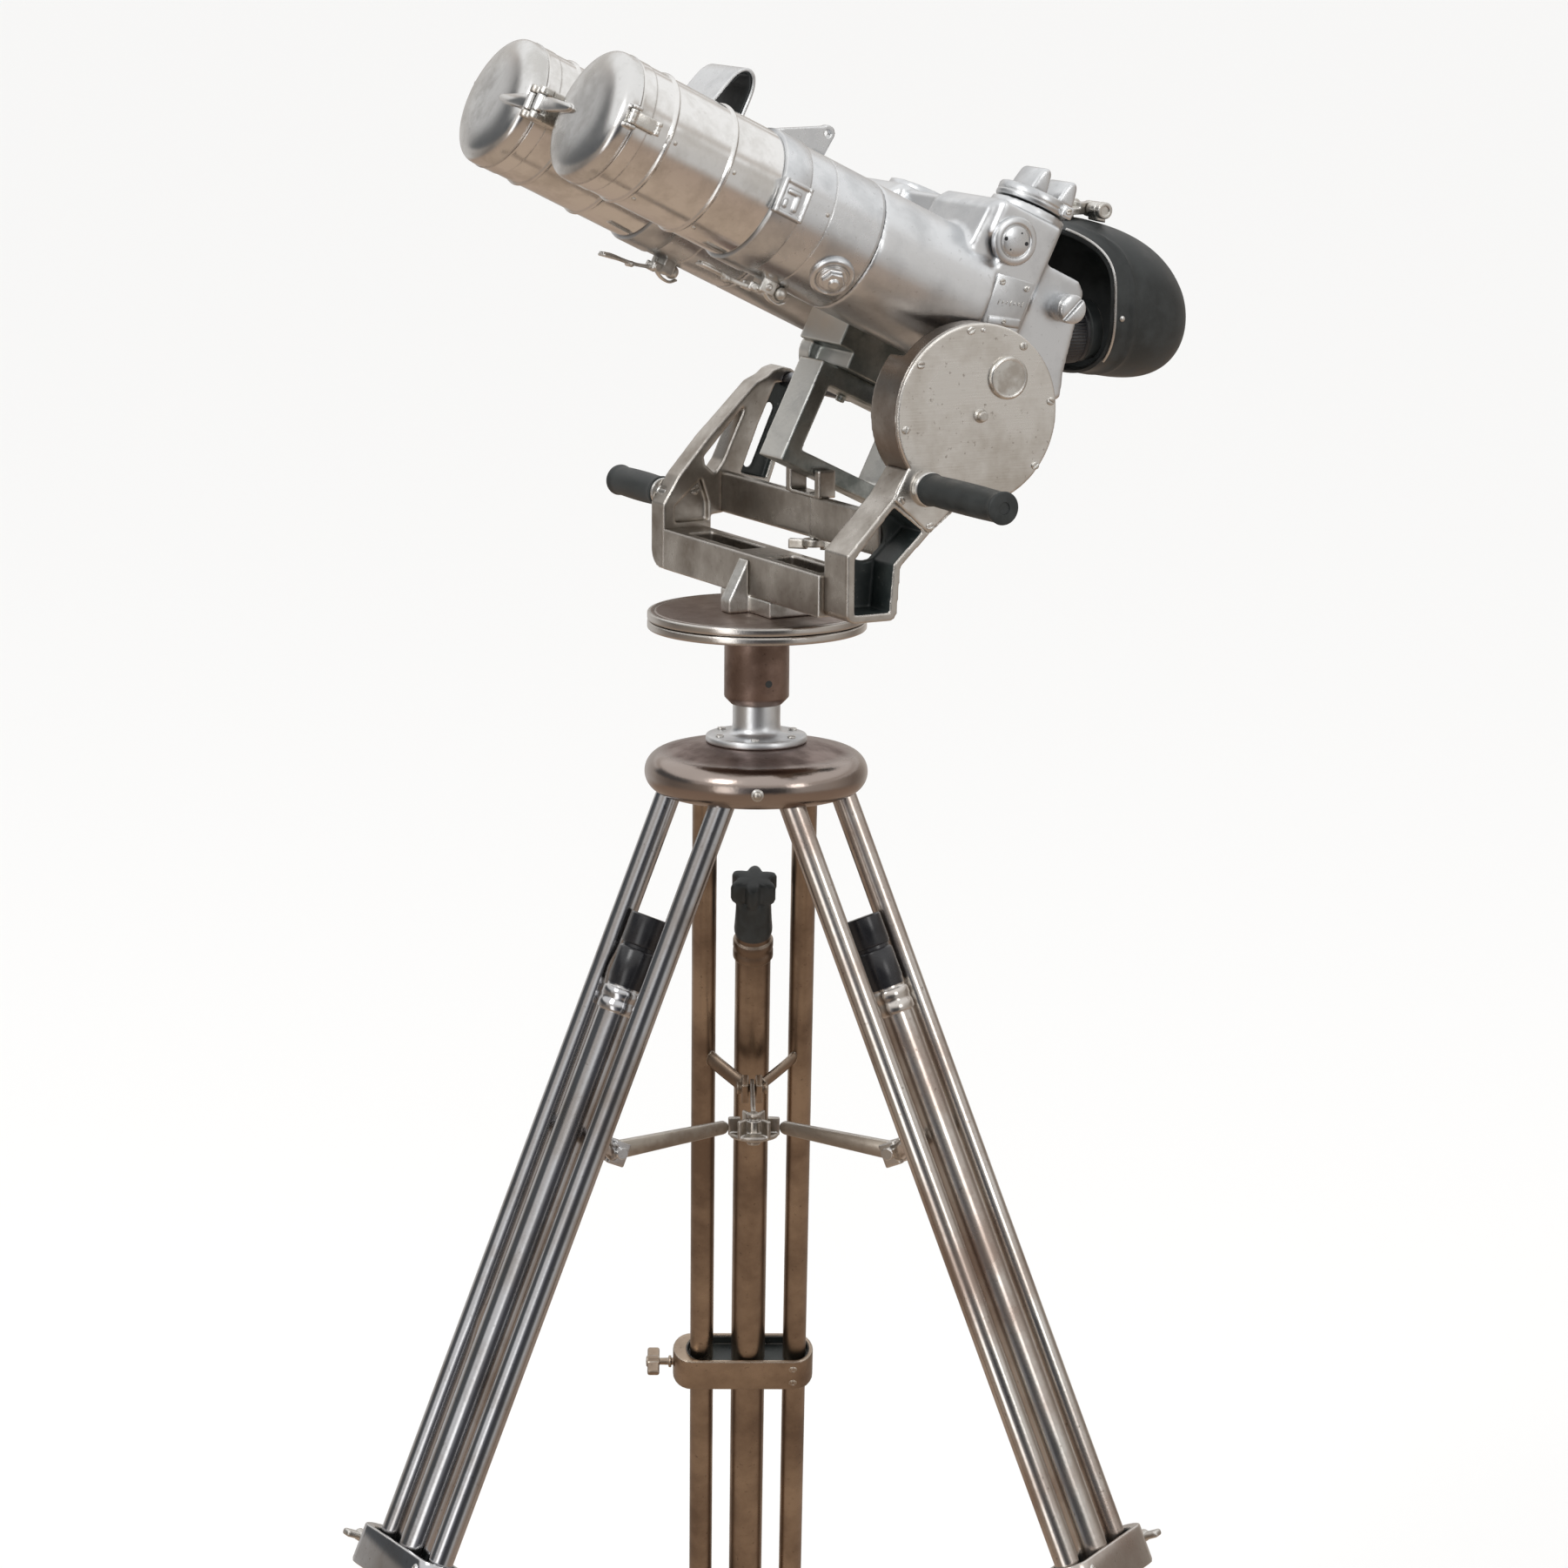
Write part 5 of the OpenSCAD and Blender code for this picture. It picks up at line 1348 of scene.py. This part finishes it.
def leg_metal(k):
    """Everything fixed on a leg: tubes, foot bridge, collar, bracket ears and straps, hinge pin."""
    side = SCREW_SIDE[k]
    parts = [side_tube(k, s) for s in (-1, 1)]
    top = -COLLAR[k]
    parts.append(moved(tray(side, [(2.4, 0, top - 30), (0.7, 0, top - 29.3), (0, 0, top - 27.6),
                                   (0, 0, top - 1.6), (0.5, 0, top - 0.4),
                                   (1.5, 0, top), (2.4, 6.4, top), (3.3, 7.2, top - 0.6),
                                   (3.4, 7.2, top - 9), (5, 8, top - 9.2)]), upward))
    parts.append(moved(prism([(-14, -36), (14, -36), (14, 36), (-14, 36)], -860, -824, 2.0, 4), upward))
    parts.append(turned_part([(0, -40), (4.95, -40), (4.95, 40), (0, 40)], (0, 0, 0), (0, 1, 0), 28))
    for s in (-1, 1):
        parts.append(placed_box((14, 5.4, 17.6), (BRACKET_OUT, s * 5.25, 270.2), 1.2))
        bend = curve([(-36, s * 7.0, 270.2), (-31, s * 10.5, 270.0), (-24, s * 17.5, 268.4),
                      (-15, s * 26, 266.6), (-7.4, s * 31.4, 266.2)], 16)
        parts.append(swept(bend, oval(3.4, 6.4, 16)))
    parts.append(turned_part([(0, -11.5), (4.6, -11.5), (4.6, -9.6), (4.0, -8.4), (2.95, -8.2), (2.95, 8.2),
                              (4.0, 8.4), (4.6, 9.6), (4.6, 11.5), (0, 11.5)],
                             (BRACKET_OUT, 0, BRACKET_DOWN), (0, 1, 0), 24))
    heads = [turned_part([(0, 17), (2.6, 17), (2.6, 18.5), (1.9, 19.1), (1.2, 19.1), (0.9, 18.5), (0, 18.5)],
                         (0, side * -36, COLLAR[k] + t), (f, 0, 0), 24) for f in (-1, 1) for t in (8, 22)]
    return together(*parts, *heads)


def collar_well(k):
    """Dark paint inside the collar's recess: its floor and walls."""
    top = -COLLAR[k]
    rows = [(5.6, 8.5, top - 10), (3.35, 7.25, top - 9.6), (3.25, 7.15, top - 1.2), (3.8, 7.6, top - 1.2),
            (3.9, 7.7, top - 8.6), (5.6, 8.5, top - 8.7)]
    return moved(tray(SCREW_SIDE[k], rows), upward)


def slide_tube():
    """The sliding tube with its ferrule and rubber foot, from the knob to the floor."""
    prof = [(0, 144), (12.6, 144), (13.4, 145), (13.4, 156.5), (14.6, 157.2), (15.2, 158.4), (15.2, 163),
            (14.5, 164.2), (14.5, 166.4),
            (15.2, 167.6), (15.2, 172.6), (14.6, 173.8), (13.4, 174.2), (13.4, 1000), (16.5, 1000.4),
            (16.5, 1040), (16.5, 1063), (0, 1063)]
    return moved(revolved([(r, -t) for r, t in prof], 56, False), upward)


def plain_cap():
    """Black two-step cap on a front leg's slide."""
    prof = [(0, 101), (13.6, 101), (14.4, 102), (14.5, 122), (13.9, 123.2), (12.9, 123.8), (12.9, 126),
            (13.9, 126.8), (14.5, 128), (14.5, 148), (13.8, 150.5), (13.2, 157), (0, 157)]
    return moved(revolved([(r, -t) for r, t in prof], 48, False), upward)


def star_knob():
    """Six-lobed knob: r = 15.9 + 3 cos 6a, rounded over at both faces, on a tapering skirt."""
    a = np.linspace(0, 2 * math.pi, 120, endpoint=False)
    star = 15.9 + 3.0 * np.cos(6 * a + 0.4)
    rows = [(k * star, t) for t, k in ((101, 0.0), (101, 0.55), (101.3, 0.8), (102.6, 0.94), (105, 1.0),
                                       (114, 1.0), (117, 0.94), (119, 0.84))]
    for t, r, mix in ((121, 13.2, 0.5), (126, 13.6, 0.2), (140, 13.9, 0.0), (147, 14.4, 0.0), (150, 14.2, 0),
                      (152, 13.4, 0), (157.5, 13.3, 0.0), (157.5, 0.0, 0)):
        rows.append(((1 - mix) * r + mix * star * r / 15.9, t))
    p = np.stack([np.stack([r * np.cos(a), r * np.sin(a), np.full_like(a, t)], -1) for r, t in rows])
    n, m = p.shape[:2]
    return p.reshape(-1, 3), grid_faces(n, m, wrap_m=True)


def to_floor(k):
    """As on_leg, with what would go below the floor pressed flat on it."""
    return lambda p: np.maximum(on_leg(k)(p), [-np.inf, -np.inf, 0])


for k, letter in enumerate("abc"):
    tone = ("leg_bronze", "leg_chrome", "leg_worn")[k]
    piece("leg_" + letter + "_tubes", "leg_" + letter, tone, leg_metal(k), on_leg(k),
          ["leg_" + letter + "_frame"])
    piece("slide_" + letter, "centre_tube_" + letter, tone, slide_tube(), to_floor(k),
          ["leg_" + letter + "_slide"])
    piece("cap_" + letter, "centre_tube_" + letter, "rubber" if k == 0 else "eyepiece_black",
          star_knob() if k == 0 else plain_cap(), on_leg(k))
    piece("collar_well_" + letter, "leg_" + letter, "black_paint", collar_well(k), on_leg(k))

# %% [markdown]
# ## Wing screws and spreader
# A wing screw is a turned shaft with a collar and one rounded cross bar. The bars of
# the spreader are flat, a little narrower at the hub, with a round end on the
# bracket's pin.

# %% Wing screws
def wing_screw():
    """Drawn along +Z from the tube: shaft, small collar and one cross bar with a crowned end."""
    shaft = revolved([(0, 14.6), (2.95, 14.6), (2.95, 61.2), (4.6, 61.4), (4.9, 62.2), (4.6, 63.4),
                      (2.9, 63.8), (2.7, 70.5), (4.4, 71.2), (4.6, 80.6), (3.6, 81.4), (0, 81.6)], 32, False)
    screw = together(shaft, placed_box((5, 30, 9.6), (0, 0, 75.6), 1.9))
    return moved(screw, lambda p: p[:, [1, 0, 2]] * [-1, 1, 1])


for k, letter in enumerate("abc"):
    screw = moved(wing_screw(), facing((0, 0, COLLAR[k] + 15), (0, SCREW_SIDE[k], 0)))
    piece("wing_" + letter, "leg_screw_" + letter, "leg_bronze" if k == 0 else "fastener",
          screw, on_leg(k), ["leg_" + letter + "_wing_screw"])


# %% Spreader bars
def bar_outline():
    """Round at both ends, 14 mm wide at the bracket and 10 mm at the hub."""
    return arc((0, 0), 7.0, 90, 270, 15) + arc((90, 0), 5.0, -90, 90, 11)


BAR_TURN = math.radians(23.5 + 180 + 3)


def bar_place(p):
    """The flat bar from its own plane to (outward, across, down) on the leg."""
    x, y, z = np.asarray(p, float).T
    c, s = math.cos(BAR_TURN), math.sin(BAR_TURN)
    return np.column_stack([BRACKET_OUT + x * c - y * s, z, BRACKET_DOWN + x * s + y * c])


for k, letter in enumerate("abc"):
    piece("bar_" + letter, "bar_" + letter, "bar_steel",
          moved(prism(bar_outline(), -1.5, 1.5, 0.5), bar_place), on_leg(k), ["spreader_bar_" + letter])


# %% Spreader hub
def hub_shape():
    """Flat ring, boss, eye bolt and the six ears of the bars; heights from the hub's centre."""
    rim = revolved([(12.2, -9.5), (12.8, -10.4), (17.4, -10.4), (18.2, -9.5), (18.2, -7.9), (17.4, -7.0),
                    (12.8, -7.0), (12.2, -7.9)], 64)
    web = revolved([(0, -13.6), (8.4, -13.6), (9, -13), (12.6, -10.2), (12.6, -7.4), (7, -7.2), (6, -5.4),
                    (5.6, 1.6), (0, 1.6)], 40, False)
    eye = revolved([(0, 1.4), (3.2, 1.4), (3.0, 2.8), (4.6, 3.6), (4.9, 5.2), (4.2, 6.8), (2.6, 7.6),
                    (0, 7.8)], 28, False)
    tip = revolved([(0, -17), (4.2, -17), (5, -16), (5, -13.4), (0, -13.4)], 28, False)
    ears = []
    for k in range(3):
        for s in (-1, 1):
            a = LEG_AZ[k] + s * math.radians(23)
            turn = np.array([(math.cos(a), math.sin(a), 0), (-math.sin(a), math.cos(a), 0), (0, 0, 1)])
            ears.append(moved(soft_box((9, 3.0, 14), 1.2), lambda p, t=turn: (p + [14.6, 0, -2.4]) @ t))
    return together(rim, web, eye, tip, *ears)


hub = moved(hub_shape(), shift(0, 0, -382.7))
piece("hub_ring", "spreader_hub", "bar_steel", hub, on_disc, ["spreader_hub"])
